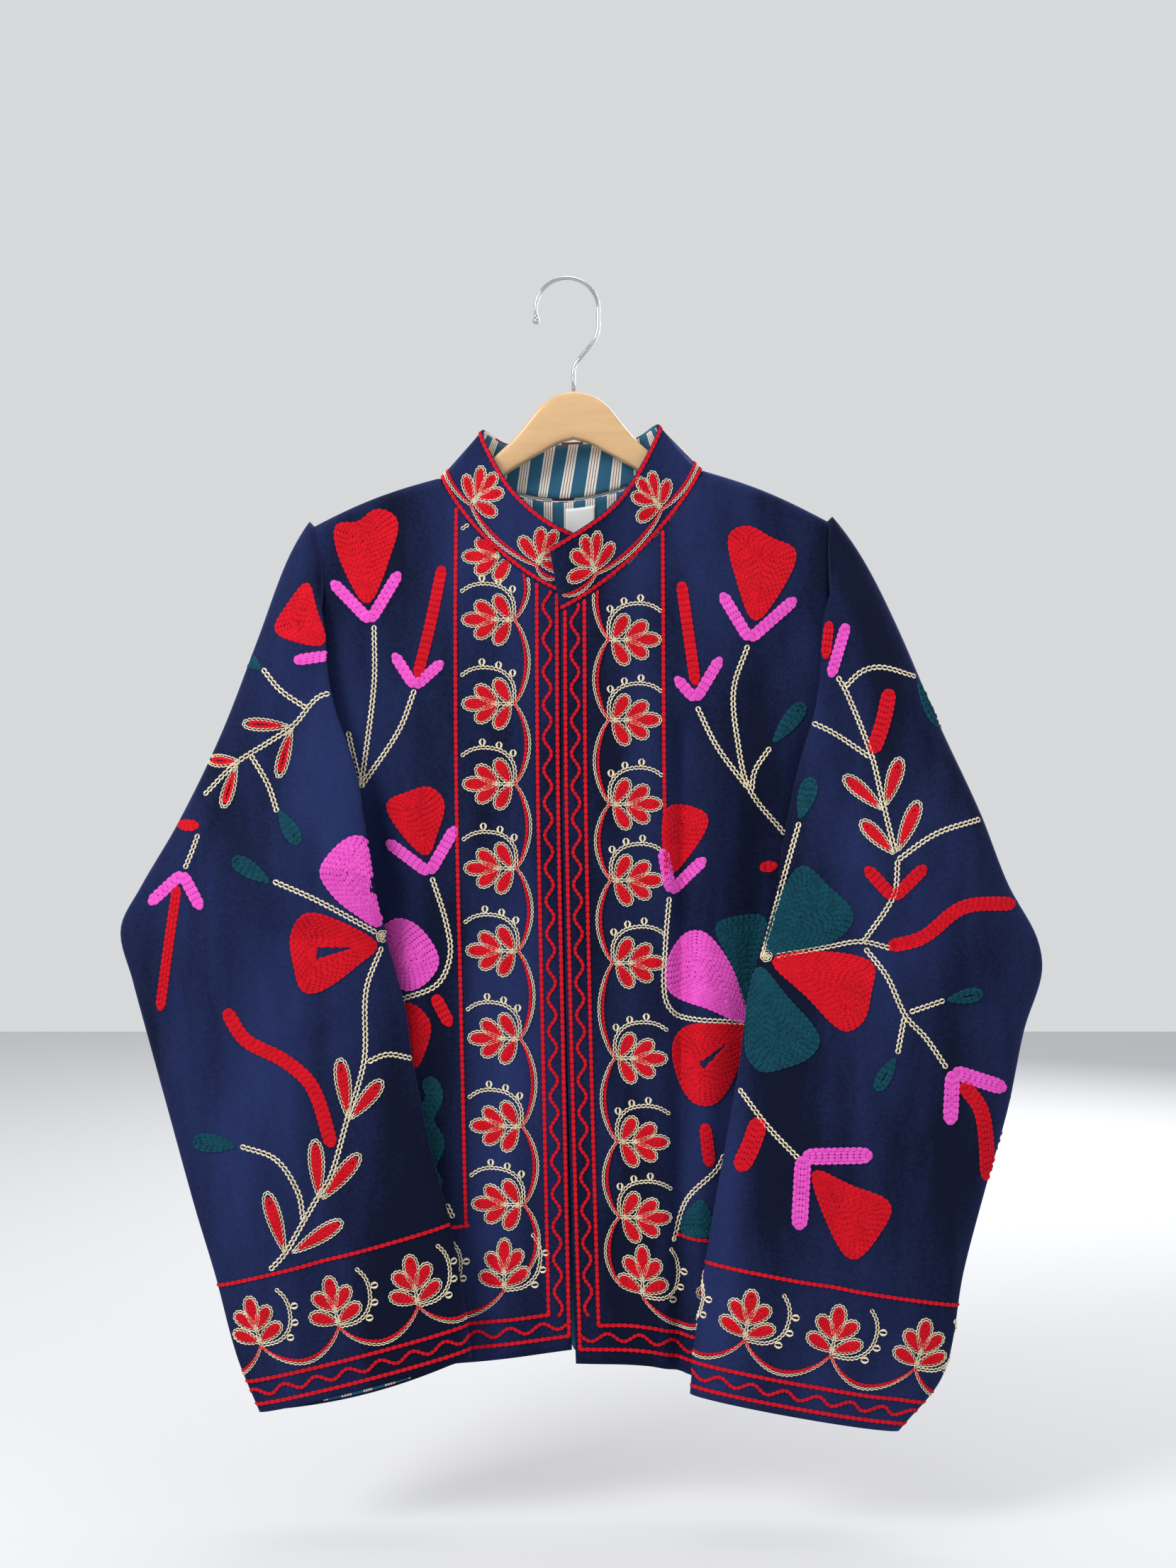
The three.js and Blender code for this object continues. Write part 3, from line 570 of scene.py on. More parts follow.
# The hanger: a bow of varnished beech with rounded edges and a bent wire hook that is screwed into its
# middle. The hook has a small ball at its free end.
HANGER_X = 5
HANGER_TILT = 0.0115
HANGER_HALF = 6.5
HANGER_REACH = 204
HANGER_CORNER = 4.5
END_FROM = 199
END_ROUND = 5.2
WIRE = 1.5
HOOK_RADIUS = 24
END_BALL = ((0.4, 1.9), (1, 2.4), (2, 2.75), (2.6, 2.8), (3.4, 2.7), (4.2, 2.4), (4.8, 1.7), (5.1, 0.9))
wood_top = curve_of(
    (0, 85.3), (12, 87.5), (25, 95.6), (36, 109), (47, 122), (60, 134), (75, 150), (101, 162),
    (150, 176), (197, 195), (204, 200),
)
wood_bottom = curve_of(
    (0, 121.5), (12, 125), (25, 132), (36, 138.5), (47, 145), (60, 155), (75, 171), (101, 185),
    (150, 199), (197, 213), (204, 209),
)
beech = Paint("varnished_wood", roughness=0.34, coat_weight=0.5, coat_roughness=0.18)
grain = beech.noise(14, 6, beech.places((1.2, 9, 12)))
pores = beech.noise(90, 3, beech.places((0.6, 9, 9)))
beech.wear(base_color=beech.blend(grain * 0.75 + pores * 0.25, rgb(186, 144, 98), rgb(216, 180, 132)))
beech.rough_up(pores, 0.08, 0.0004)

bm = bmesh.new()
bmesh.ops.create_grid(bm, x_segments=32, y_segments=120, size=0.5)
spots = np.array([v.co for v in bm.verts]) + 0.5
out = HANGER_REACH * (2 * spots[:, 1] - 1)
high, low = (edge(np.abs(out)) - HANGER_TILT * out for edge in (wood_top, wood_bottom))
turn = 2 * np.pi * spots[:, 0]
end = np.sqrt(np.clip(1 - ((np.abs(out) - END_FROM) / END_ROUND).clip(0) ** 2, 0.02, 1))
flat_half = HANGER_HALF - HANGER_CORNER
across = (np.clip(2 * np.cos(turn), -1, 1) * flat_half + HANGER_CORNER * np.cos(turn)) * end
up = np.clip(2 * np.sin(turn), -1, 1) * ((low - high) / 2 - HANGER_CORNER) + HANGER_CORNER * np.sin(turn)
for vertex, x, y, z in zip(bm.verts, HANGER_X + out, across, up - (high + low) / 2):
    vertex.co = (x * METRE, y * METRE, z * METRE)
bmesh.ops.remove_doubles(bm, verts=bm.verts, dist=WELD)
bmesh.ops.holes_fill(bm, edges=[e for e in bm.edges if e.is_boundary], sides=0)
bmesh.ops.recalc_face_normals(bm, faces=bm.faces)
for face in bm.faces:
    face.smooth = len(face.verts) == 4
mesh = bpy.data.meshes.new("wooden_hanger")
bm.to_mesh(mesh)
bm.free()
mesh.materials.append(beech.material)
wooden_hanger = bpy.data.objects.new("wooden_hanger", mesh)
bpy.context.collection.objects.link(wooden_hanger)
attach(wooden_hanger, "root")
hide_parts("hanger_wood")

steel = Paint("hook_wire", metallic=1.0, base_color=rgb(190, 192, 196))
steel.wear(roughness=steel.noise(120, 2) * 0.08 + 0.1)
path = [(HANGER_X, z) for z in (-84.6, -78, -72, -69)]
path += [(6.2, -64.5), (10, -59.5), (16, -52), (21, -45.5), (23.3, -40.5), (24, -34)]
bend = np.radians(np.arange(-10, 196, 5))
path += [(HOOK_RADIUS * np.cos(a), WIRE - HOOK_RADIUS + HOOK_RADIUS * np.sin(a)) for a in bend]
sizes = [WIRE] * len(path)
tip_x, tip_z = path[-1]
for step, size in END_BALL:
    path.append((tip_x - 0.1 * step, tip_z - step))
    sizes.append(size)
bm = bmesh.new()
rings = []
for i, ((x, z), size) in enumerate(zip(path, sizes)):
    ax, az = path[max(i - 1, 0)]
    bx, bz = path[min(i + 1, len(path) - 1)]
    ring = bmesh.ops.create_circle(bm, segments=14, radius=size * METRE)["verts"]
    ahead = Vector((bx - ax, 0, bz - az))
    bmesh.ops.rotate(bm, verts=ring, matrix=ahead.to_track_quat("Z", "Y").to_matrix())
    bmesh.ops.translate(bm, verts=ring, vec=Vector((x, 0, z)) * METRE)
    rings.append(ring)
for first, second in zip(rings, rings[1:]):
    loops = [e for e in bm.edges if all(v in first for v in e.verts) or all(v in second for v in e.verts)]
    bmesh.ops.bridge_loops(bm, edges=loops)
for ring in (rings[0], rings[-1]):
    bmesh.ops.contextual_create(bm, geom=ring)
bmesh.ops.recalc_face_normals(bm, faces=bm.faces)
for face in bm.faces:
    face.smooth = len(face.verts) == 4
mesh = bpy.data.meshes.new("wire_hook")
bm.to_mesh(mesh)
bm.free()
mesh.materials.append(steel.material)
wire_hook = bpy.data.objects.new("wire_hook", mesh)
bpy.context.collection.objects.link(wire_hook)
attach(wire_hook, "root")
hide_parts("hanger_hook")

# The embroidery: rows of chain stitch in four colours of cotton thread, worked by hand on the velvet
# before it was sewn up. Each stitch is one loop that the next one holds down, and red rows and filled
# shapes are pulled tight, with closed loops. Rows side by side fill the petals and leaves.
PITCH = 4.6
LOOP_WIDE = 3.0
LOOP_HIGH = 1.15
ROW_GAP = 2.4
SAMPLE_STEP = 1.6
LONGEST_JUMP = 12
EYE = Vector((16, -1500, -384)) * METRE
stitches = {}


def lengths_along(line):
    """Distance from the start of a flat line to each of its points."""
    return np.concatenate([[0], np.cumsum(np.hypot(*np.diff(line, axis=0).T))])


def spaced(line, step):
    """The same line with points at even steps."""
    line = np.asarray(line, float)
    long = lengths_along(line)
    at = np.linspace(0, long[-1], max(2, int(long[-1] / step) + 1))
    return np.stack([np.interp(at, long, line[:, 0]), np.interp(at, long, line[:, 1])], axis=1)


def curved(points, closed=False):
    """A smooth line through a few points."""
    points = np.asarray(points, float)
    if len(points) < 3:
        return spaced(points, 2)
    if closed:
        ring = np.concatenate([points[-2:], points, points[:3]])
        keys = lengths_along(ring)
        at = np.linspace(keys[2], keys[-3], 1 + int((keys[-3] - keys[2]) / 2))
    else:
        ring = points
        keys = lengths_along(ring)
        at = np.linspace(0, keys[-1], 1 + int(keys[-1] / 2))
    return np.stack([smooth(keys, ring[:, 0], at), smooth(keys, ring[:, 1], at)], axis=1)


def chain(cloth, colour, line, pitch=PITCH, wide=LOOP_WIDE, packed=False):
    """One row of chain stitch along a line of the design, left out where the cloth ends."""
    name, place = cloth
    packed = packed or colour == "red"
    spots = place(spaced(line, SAMPLE_STEP))
    missing = np.isnan(spots[:, 0])
    jumps = np.linalg.norm(np.diff(spots[:, :3], axis=0), axis=1) > LONGEST_JUMP * METRE
    cuts = np.flatnonzero(missing[1:] | missing[:-1] | jumps) + 1
    for run in np.split(spots, cuts):
        if np.isnan(run[0, 0]) or len(run) < 2:
            continue
        long = np.concatenate([[0], np.cumsum(np.linalg.norm(np.diff(run[:, :3], axis=0), axis=1))])
        count = int(round(long[-1] / (pitch * METRE)))
        if count < 1:
            continue
        at = np.linspace(0, long[-1], count + 1)
        ends = np.stack([np.interp(at, long, run[:, k]) for k in range(6)], axis=1)
        sizes = np.full((count, 1), wide * METRE)
        rows = np.hstack([ends[:-1, :3], ends[1:, :3], ends[:-1, 3:] + ends[1:, 3:], sizes])
        stitches.setdefault((name, colour, packed), []).append(rows)


def across_line(line, distance):
    """The line moved sideways."""
    ahead = np.gradient(line, axis=0)
    ahead /= np.linalg.norm(ahead, axis=1)[:, None] + 1e-9
    shift = np.asarray(distance, float).reshape(-1, 1)
    return line + np.stack([-ahead[:, 1], ahead[:, 0]], axis=1) * shift


def stem(cloth, *points):
    chain(cloth, "cream", curved(points), pitch=4.0, wide=4.2)


def band(cloth, colour, width, *points):
    """A filled stroke with round ends."""
    line = curved(points)
    long = lengths_along(line)
    from_end = np.clip(np.minimum(long, long[-1] - long) / (width / 2), 0, 1)
    half = (width - LOOP_WIDE) / 2 * np.sqrt(1 - (1 - from_end) ** 2)
    rows = max(2, int(round(width / ROW_GAP)))
    for share in np.linspace(-1, 1, rows):
        chain(cloth, colour, across_line(line, half * share), packed=True)


def vee(cloth, colour, width, left, bottom, right):
    for end in (left, right):
        band(cloth, colour, width, bottom, end)


SLIT_FROM, SLIT_TO = 0.45, 1.2


def petal(cloth, colour, *points, slit=0):
    """A filled shape, its point first: rows follow the outline until they meet. A slit opens outward."""
    outline = curved(points, closed=True)
    point = np.array(points[0], float)
    middle = outline.mean(axis=0)
    axis = middle - point
    start, stop = mix(point, middle, 0.55), mix(point, middle, 1.25)
    spine = stop - start
    share = np.clip(((outline - start) @ spine) / (spine @ spine), 0, 1)
    inward = start + share[:, None] * spine - outline
    depth = np.linalg.norm(inward, axis=1)
    for offset in np.arange(LOOP_WIDE / 2, depth.max(), ROW_GAP):
        row = outline + inward * (offset / depth)[:, None]
        good = depth > offset + 0.4
        along = ((row - point) @ axis) / (axis @ axis)
        aside = np.linalg.norm(row - point - along[:, None] * axis, axis=1)
        good &= ~((along > SLIT_FROM) & (along < SLIT_TO) & (aside < slit * (along - SLIT_FROM)))
        for run in np.split(np.arange(len(row)), np.flatnonzero(np.diff(good.astype(int))) + 1):
            if good[run[0]] and len(run) > 2:
                chain(cloth, colour, row[run], packed=True)
    if slit:
        beside = np.array([-axis[1], axis[0]]) / np.linalg.norm(axis)
        for turn in (-1, 1):
            edge = [
                point + axis * a + beside * turn * (slit * (a - SLIT_FROM) + 1.2)
                for a in (SLIT_FROM, SLIT_TO)
            ]
            chain(cloth, colour, edge, packed=True)
    else:
        for shift in (-0.6, 0.6):
            chain(cloth, colour, across_line(spaced([start - spine * 0.3, stop], 3), shift), packed=True)


def tear(base, tip, width, share=1.0):
    """Outline of a drop-shaped petal, or of a smaller one inside it."""
    base, tip = np.array(base, float), np.array(tip, float)
    turn = np.linspace(0, 2 * np.pi, 25)
    along = (1 - np.cos(turn)) / 2
    side = np.sin(turn) * along**0.45 * 1.25 * width / 2 * share
    along = 0.6 + (along - 0.6) * mix(1, share, 0.55)
    ahead = tip - base
    square = np.array([-ahead[1], ahead[0]]) / np.linalg.norm(ahead)
    return base + along[:, None] * ahead + side[:, None] * square


def leaf(cloth, base, tip, width=13.5, pitch=3.5, wide=2.8):
    """A red leaf with a cream outline."""
    chain(cloth, "cream", tear(base, tip, width - wide), pitch=pitch, wide=wide)
    for edge in np.arange(2 * wide, width, 2 * wide):
        chain(cloth, "red", tear(base, tip, width - wide, 1 - edge / width), pitch=pitch, wide=wide + 0.5)


def bud(cloth, colour, base, tip, width=13):
    for edge in np.arange(LOOP_WIDE / 2, width / 2, ROW_GAP):
        chain(cloth, colour, tear(base, tip, width, 1 - 2 * edge / width), packed=True)


def knot(cloth, x, down, radius=5):
    for ring in (radius - 1, radius - 3):
        turn = np.linspace(0, 2 * np.pi, 16)
        circle = np.stack([x + ring * np.cos(turn), down + ring * np.sin(turn)], axis=1)
        chain(cloth, "cream", circle, wide=2.6)


FAN = ((-60, 0.08, 0.55), (60, 0.08, 0.55), (-38, 0.31, 0.54), (38, 0.31, 0.54), (0, 0.34, 0.66))
TENDRIL = ((0, 0.02), (0.02, 0.38), (0.22, 0.62), (0.55, 0.7), (0.83, 0.66), (1.02, 0.54))
DIAMONDS = ((0.03, 0.52), (0.3, 0.67), (0.62, 0.73))


def flower(cloth, base, ahead, size=39, tendril=1, fan=FAN, plump=0.33):
    """Five outlined petals that fan out from a short stalk; a looped tendril may arch over them."""
    base, ahead = np.array(base, float), np.array(ahead, float)
    beside = np.array([-ahead[1], ahead[0]])
    for degrees, start, long in fan:
        turn = np.radians(degrees)
        away = ahead * np.cos(turn) + beside * np.sin(turn)
        root = base + ahead * size * start
        leaf(cloth, root, root + away * size * long, width=size * plump, pitch=3.1, wide=2.6)
    chain(cloth, "cream", [base, base + ahead * size * 0.4], pitch=3.2, wide=3.0)
    if not tendril:
        return
    beside = beside * tendril
    arch = [base + (ahead * a + beside * b) * size for a, b in TENDRIL]
    chain(cloth, "cream", curved(arch), pitch=3.3, wide=3.2)
    for a, b in DIAMONDS:
        spot = base + (ahead * a + beside * b) * size
        chain(cloth, "cream", [spot, spot + beside * size * 0.12], pitch=4.2, wide=5.2)


def vine(cloth, bases, level, sag):
    """Red and cream arcs that run from each flower's foot to the next."""
    for first, second in zip(bases, bases[1:]):
        for colour, offset in (("red", 0.0), ("cream", 2.8)):
            s = np.linspace(0, 1, 14)
            q = level - (sag + offset) * np.sin(np.pi * s) ** 0.75
            chain(cloth, colour, np.stack([mix(first, second, s), q], axis=1), pitch=3.4, wide=2.3)


def rays(name, eye=None, face=-1):
    """Lays the front view of the design on a cloth, from the eye or straight from the front or back."""
    tree = meshes[name]

    def place(points):
        found = np.full((len(points), 6), np.nan)
        for i, (x, down) in enumerate(points):
            target = Vector((x, 0, -down)) * METRE
            start = eye if eye else target + Vector((0, face, 0))
            hit, normal, _, _ = tree.ray_cast(start, target - start)
            if hit is not None:
                found[i] = (*hit, *normal)
        return found
    return name, place


def moved(cloth, across=0.0, down=0.0):
    """The same cloth with the design moved."""
    name, place = cloth
    return name, lambda points: place(np.asarray(points) + (across, down))


# Sprays of each panel, as they show from the front: tulips with pink cups, big petals round a knot,
# curved red leaves, teal buds and cream stems with pairs of outlined leaves.
def left_front_spray(cloth):
    petal(
        cloth, "red", (-152, 247), (-173, 214), (-177, 187), (-160, 184),
        (-144, 174), (-129, 182), (-132, 204),
    )
    vee(cloth, "pink", 9.5, (-179, 230), (-150, 260), (-128, 223))
    stem(cloth, (-147, 263), (-147, 308), (-157, 386))
    band(cloth, "red", 9, (-95, 218), (-104, 262), (-114, 302))
    vee(cloth, "pink", 9, (-132, 285), (-116, 310), (-95, 291))
    stem(cloth, (-116, 312), (-128, 343), (-157, 386))
    stem(cloth, (-167, 344), (-163, 362), (-158, 382))
    petal(
        cloth, "red", (-107, 439), (-128, 420), (-138, 399), (-122, 390),
        (-104, 386), (-93, 398), (-98, 420),
    )
    vee(cloth, "pink", 9.5, (-137, 428), (-105, 452), (-85, 417))
    stem(cloth, (-103, 455), (-92, 490), (-89, 515), (-99, 537), (-126, 548))
    petal(
        cloth, "pink", (-145, 500), (-130, 486), (-112, 493), (-97, 518),
        (-107, 536), (-124, 542), (-137, 527),
    )
    band(cloth, "red", 10, (-101, 545), (-89, 568))
    petal(cloth, "red", (-116, 601), (-127, 578), (-133, 553), (-118, 551), (-104, 565), (-106, 583))
    band(cloth, "teal", 14, (-107, 608), (-101, 622), (-109, 640), (-100, 658), (-107, 676), (-98, 692))
    stem(cloth, (-92, 704), (-87, 714))


def left_sleeve_spray(cloth):
    petal(cloth, "red", (-198, 230), (-214, 248), (-223, 267), (-204, 277), (-184, 277), (-190, 252))
    band(cloth, "pink", 9, (-208, 290), (-181, 286))
    bud(cloth, "teal", (-232, 297), (-250, 284), 12)
    stem(cloth, (-232, 296), (-219, 312), (-199, 326))
    stem(cloth, (-176, 314), (-190, 318), (-208, 339), (-227, 352), (-252, 368), (-276, 392))
    for base, tip in (
        ((-212, 340), (-247, 338)), ((-210, 342), (-220, 379)), ((-250, 367), (-273, 366)),
        ((-252, 370), (-262, 402)),
    ):
        leaf(cloth, base, tip, 11)
    stem(cloth, (-241, 362), (-228, 384), (-221, 405))
    bud(cloth, "teal", (-220, 403), (-204, 431))
    band(cloth, "red", 9, (-296, 415), (-281, 416))
    stem(cloth, (-281, 422), (-286, 436), (-291, 448))
    vee(cloth, "pink", 9.5, (-318, 475), (-293, 452), (-279, 479))
    band(cloth, "red", 8, (-297, 462), (-303, 503), (-310, 556))
    bud(cloth, "teal", (-225, 460), (-256, 440), 14)
    stem(cloth, (-224, 458), (-190, 473), (-146, 497))
    petal(
        cloth, "pink", (-142, 493), (-164, 482), (-180, 468), (-189, 451), (-179, 434), (-163, 423),
        (-152, 426), (-146, 450),
    )
    petal(
        cloth, "red", (-144, 506), (-160, 523), (-187, 542), (-201, 543), (-208, 525), (-211, 500),
        (-201, 483), (-184, 484), slit=6,
    )
    knot(cloth, -141, 500)
    stem(
        cloth, (-141, 508), (-153, 541), (-154, 591), (-160, 617), (-167, 638), (-180, 683), (-190, 699),
        (-201, 718), (-215, 742), (-226, 754),
    )
    stem(cloth, (-152, 596), (-137, 590), (-119, 593))
    for base, tip in (
        ((-167, 638), (-173, 593)), ((-165, 639), (-141, 610)), ((-189, 699), (-192, 655)),
        ((-186, 700), (-158, 666)), ((-215, 741), (-229, 695)), ((-209, 741), (-171, 717)),
    ):
        leaf(cloth, base, tip)
    band(cloth, "red", 11, (-260, 556), (-245, 579), (-215, 595), (-194, 615), (-179, 660))
    bud(cloth, "teal", (-251, 660), (-286, 656), 15)
    stem(cloth, (-249, 660), (-222, 670), (-205, 695), (-201, 716))


def right_front_spray(cloth):
    petal(cloth, "red", (143, 260), (128, 226), (123, 194), (137, 187), (156, 196), (175, 207), (164, 236))
    vee(cloth, "pink", 9.5, (118, 239), (139, 274), (174, 243))
    stem(cloth, (138, 278), (127, 312), (130, 351), (139, 388), (166, 422))
    band(cloth, "red", 9, (87, 230), (92, 265), (98, 308))
    vee(cloth, "pink", 9, (83, 303), (98, 320), (117, 288))
    stem(cloth, (99, 325), (114, 355), (137, 386))
    bud(cloth, "teal", (156, 354), (182, 321), 14)
    stem(cloth, (155, 356), (143, 374), (141, 388))
    petal(cloth, "red", (79, 452), (72, 425), (76, 402), (92, 400), (108, 409), (100, 430))
    vee(cloth, "pink", 9.5, (73, 434), (79, 466), (105, 441))
    stem(cloth, (78, 470), (75, 507), (75, 548), (86, 561), (137, 566))
    petal(
        cloth, "pink", (137, 566), (108, 556), (77, 542), (76, 518), (89, 498),
        (104, 496), (122, 516), (134, 545),
    )
    petal(
        cloth, "red", (137, 569), (111, 566), (89, 569), (80, 582), (83, 606), (96, 627), (111, 629),
        (123, 617), (133, 593), slit=4.5,
    )
    band(cloth, "red", 10, (105, 643), (109, 675))
    petal(cloth, "teal", (139, 558), (125, 522), (113, 492), (132, 484), (152, 486), (147, 520))
    band(cloth, "red", 9, (147, 448), (160, 446))
    stem(cloth, (120, 666), (114, 678), (91, 701), (81, 732))
    petal(cloth, "teal", (103, 700), (87, 716), (88, 728), (98, 730), (113, 727))


def right_sleeve_spray(cloth):
    band(cloth, "red", 8, (200, 260), (197, 288))
    band(cloth, "pink", 9, (213, 262), (201, 302))
    stem(cloth, (206, 302), (213, 314), (232, 362), (240, 395), (250, 436))
    stem(cloth, (212, 310), (225, 298), (240, 295), (265, 302))
    bud(cloth, "teal", (266, 304), (286, 342))
    band(cloth, "red", 12, (246, 312), (241, 336), (233, 360))
    stem(cloth, (184, 336), (203, 345), (230, 363))
    bud(cloth, "teal", (177, 412), (187, 378), 15)
    stem(cloth, (177, 413), (165, 456), (149, 515))
    for base, tip in (
        ((240, 403), (211, 378)), ((243, 400), (254, 364)), ((249, 437), (224, 412)),
        ((252, 435), (268, 397)),
    ):
        leaf(cloth, base, tip)
    stem(cloth, (252, 442), (281, 422), (314, 411))
    vee(cloth, "red", 10, (228, 448), (249, 471), (273, 447))
    stem(cloth, (252, 442), (249, 469), (226, 504))
    petal(cloth, "teal", (152, 513), (158, 480), (178, 446), (200, 462), (219, 484), (207, 502), (180, 510))
    petal(cloth, "teal", (145, 523), (170, 548), (193, 577), (186, 592), (165, 601), (146, 603), (135, 584))
    petal(cloth, "red", (156, 518), (190, 511), (233, 520), (232, 544), (226, 565), (211, 573), (184, 548))
    knot(cloth, 152, 515)
    stem(cloth, (159, 515), (199, 508), (224, 504), (246, 509))
    band(cloth, "red", 11, (245, 508), (271, 501), (302, 478), (341, 475))
    stem(cloth, (227, 509), (244, 531), (258, 561), (273, 577), (289, 600))
    stem(cloth, (261, 558), (287, 549))
    bud(cloth, "teal", (288, 549), (318, 543), 12)
    stem(cloth, (257, 562), (252, 589))
    bud(cloth, "teal", (251, 591), (235, 619), 12)
    vee(cloth, "pink", 12, (334, 616), (294, 603), (292, 643))
    band(cloth, "red", 12, (301, 612), (316, 634), (321, 686))
    stem(cloth, (131, 616), (153, 645), (176, 669))
    vee(cloth, "pink", 13, (232, 667), (180, 668), (177, 723))
    petal(cloth, "red", (187, 679), (218, 690), (247, 704), (238, 728), (218, 747), (202, 728))
    band(cloth, "red", 15, (147, 639), (140, 660), (131, 678))


views = {name: rays(f"velvet_{name}", EYE) for name in CREASES}
behind = {name: rays(f"velvet_{name}", face=1) for name in CREASES}
left_front_spray(views["front_left"])
right_front_spray(views["front_right"])
left_sleeve_spray(views["sleeve_left"])
right_sleeve_spray(views["sleeve_right"])
left_sleeve_spray(behind["sleeve_left"])
right_sleeve_spray(behind["sleeve_right"])
left_front_spray(moved(behind["back"], across=-18))
right_front_spray(moved(behind["back"], across=20, down=-8))
left_front_spray(moved(behind["back"], across=138, down=6))

# The borders: a band down each front edge that turns along the hem, another round each cuff and the back
# hem, and a narrow one on the collar. All have a red and cream vine with flowers between red lines, and
# all but the collar's a red wave along the edge of the cloth. Below FOLD_HIDES the deep fold of the right
# front hides the outer line.
FLOWER_LEVELS = {
    "left": (213, 261, 324, 384, 447, 509, 575, 641, 700),
    "right": (276, 336, 399, 456, 518, 590, 653, 710),
}
EDGE_LINES = {"left": (2, 17, 78), "right": (3.5, 18, 77)}
HEM_LINES = (11, 29, 103)
FOLD_HIDES = 452
WAVE_LONG = 24.5
WAVE_HIGH = 3.2
HEM_FOOT = 52
BAND_FOOT = {"left": 34, "right": 36}
HEM_LEVEL = 820
LOWEST = 840
HEM_SHARE = 0.985


def hem_down(side, x):
    start = middle_x(LOWEST)
    return hem_level[side](np.clip((x - start) / (edge_x(side, LOWEST) - start), 0, 1))


def edge_band(side):
    """Points (down, distance from the front edge) of a front."""
    name, place = rays(f"velvet_front_{side}")

    def lay(points):
        down, out = np.asarray(points).T
        x = middle_x(down) + SIGN[side] * (front_gap(down) + out)
        return place(np.stack([x, down], axis=1))
    return name, lay


def hem_band(name, face):
    """Points (x, height above the hem) of a front or of the back."""
    name, place = rays(name, face=face)

    def lay(points):
        x, high = np.asarray(points).T
        level = np.where(x < middle_x(LOWEST), hem_down("left", x), hem_down("right", x))
        return place(np.stack([x, level - high], axis=1))
    return name, lay


def wave(cloth, start, stop, level):
    s = np.arange(start, stop, 1.5)
    high = level + WAVE_HIGH * np.sin(2 * np.pi * s / WAVE_LONG)
    chain(cloth, "red", np.stack([s, high], axis=1), pitch=3.6, wide=2.6)


for side in SIGN:
    upright = edge_band(side)
    level = hem_band(f"velvet_front_{side}", -1)
    corner_x = middle_x(800)
    far_x = edge_x(side, HEM_LEVEL) * HEM_SHARE
    for out, high in zip(EDGE_LINES[side], HEM_LINES):
        turn_x = float(corner_x + SIGN[side] * out)
        turn_down = float(hem_down(side, turn_x) - high)
        hidden = side == "right" and out == EDGE_LINES[side][2]
        chain(upright, "red", [(140, out), (FOLD_HIDES if hidden else turn_down, out)])
        chain(level, "red", [(turn_x, high), (far_x, high)])
    inner, outer, _ = EDGE_LINES[side]
    wave(upright, 190, 785, (inner + outer) / 2)
    ends = sorted((corner_x + SIGN[side] * inner, far_x))
    wave(level, ends[0], ends[1], sum(HEM_LINES[:2]) / 2)
    feet = FLOWER_LEVELS[side]
    foot = BAND_FOOT[side]
    vine(upright, (feet[0] - 60, *feet, feet[-1] + 52), foot, 8.5)
    for spot in feet:
        flower(upright, (spot, foot), (0, 1), tendril=1)
    across_feet = [float(corner_x) + SIGN[side] * step for step in (52, 112, 172, 226)]
    vine(level, sorted(across_feet), HEM_FOOT, 15)
    for spot in across_feet:
        flower(level, (spot, HEM_FOOT), (0, 1), tendril=-1)

back_hem = hem_band("velvet_back", 1)
for high in HEM_LINES:
    chain(back_hem, "red", [(edge_x(side, HEM_LEVEL) * HEM_SHARE, high) for side in SIGN])
wave(back_hem, -214, 226, sum(HEM_LINES[:2]) / 2)
back_feet = np.linspace(-202, 212, 8)
vine(back_hem, back_feet, HEM_FOOT, 15)
for spot in back_feet:
    flower(back_hem, (spot, HEM_FOOT), (0, 1), tendril=-1)


PROBE_STEP = 1e-3
TABLE_POINTS = 400


def on_surface(name, surface, length_of, high_of, outward):
    """Points (distance round, height) of a surface given by two shares."""
    def lay(points):
        s, q = np.asarray(points, float).T
        u = length_of(s)
        v = high_of(u, q)
        spot = surface(u, v)
        side = surface(u + PROBE_STEP, v) - spot
        up = surface(u, v + PROBE_STEP) - spot
        normal = np.cross(side, up) * outward
        return np.hstack([spot * METRE, normal / (np.linalg.norm(normal, axis=1)[:, None] + 1e-9)])
    return name, lay


def length_table(surface, v):
    """Distance along a surface's row at every share of the way."""
    u = np.linspace(0, 1, TABLE_POINTS)
    points = surface(u, np.full(TABLE_POINTS, v))
    return u, np.concatenate([[0], np.cumsum(np.linalg.norm(np.diff(points, axis=0), axis=1))])


CUFF_LINES = (7, 26, 102)
CUFF_FOOT = 52
for side in SIGN:
    whole = STEPS[side][-1]
    shares, lengths = length_table(sleeve_place(side), 0.97)
    round_cuff = lengths[-1]

    def cuff_surface(u, v, side=side):
        return sleeve_point(side, 2 * np.pi * (u % 1), STEPS[side][-1] * v)

    cuff = on_surface(
        f"velvet_sleeve_{side}", cuff_surface,
        lambda s, lengths=lengths, shares=shares: np.interp(s % lengths[-1], lengths, shares),
        lambda u, q, whole=whole: 1 - q / whole, 1 if side == "right" else -1,
    )
    for high in CUFF_LINES:
        chain(cuff, "red", [(0, high), (round_cuff, high)])
    wave(cuff, 0, round_cuff, sum(CUFF_LINES[:2]) / 2)
    cuff_feet = np.arange(7) * round_cuff / 6 + 24
    vine(cuff, cuff_feet, CUFF_FOOT, 18)
    for spot in cuff_feet[:6]:
        flower(cuff, (spot, CUFF_FOOT), (0, 1), size=38, tendril=1 if side == "right" else -1)


def collar_surface(u, v):
    return collar_point(2 * u - 1, v)


collar_shares, collar_lengths = length_table(collar_surface, 0.5)


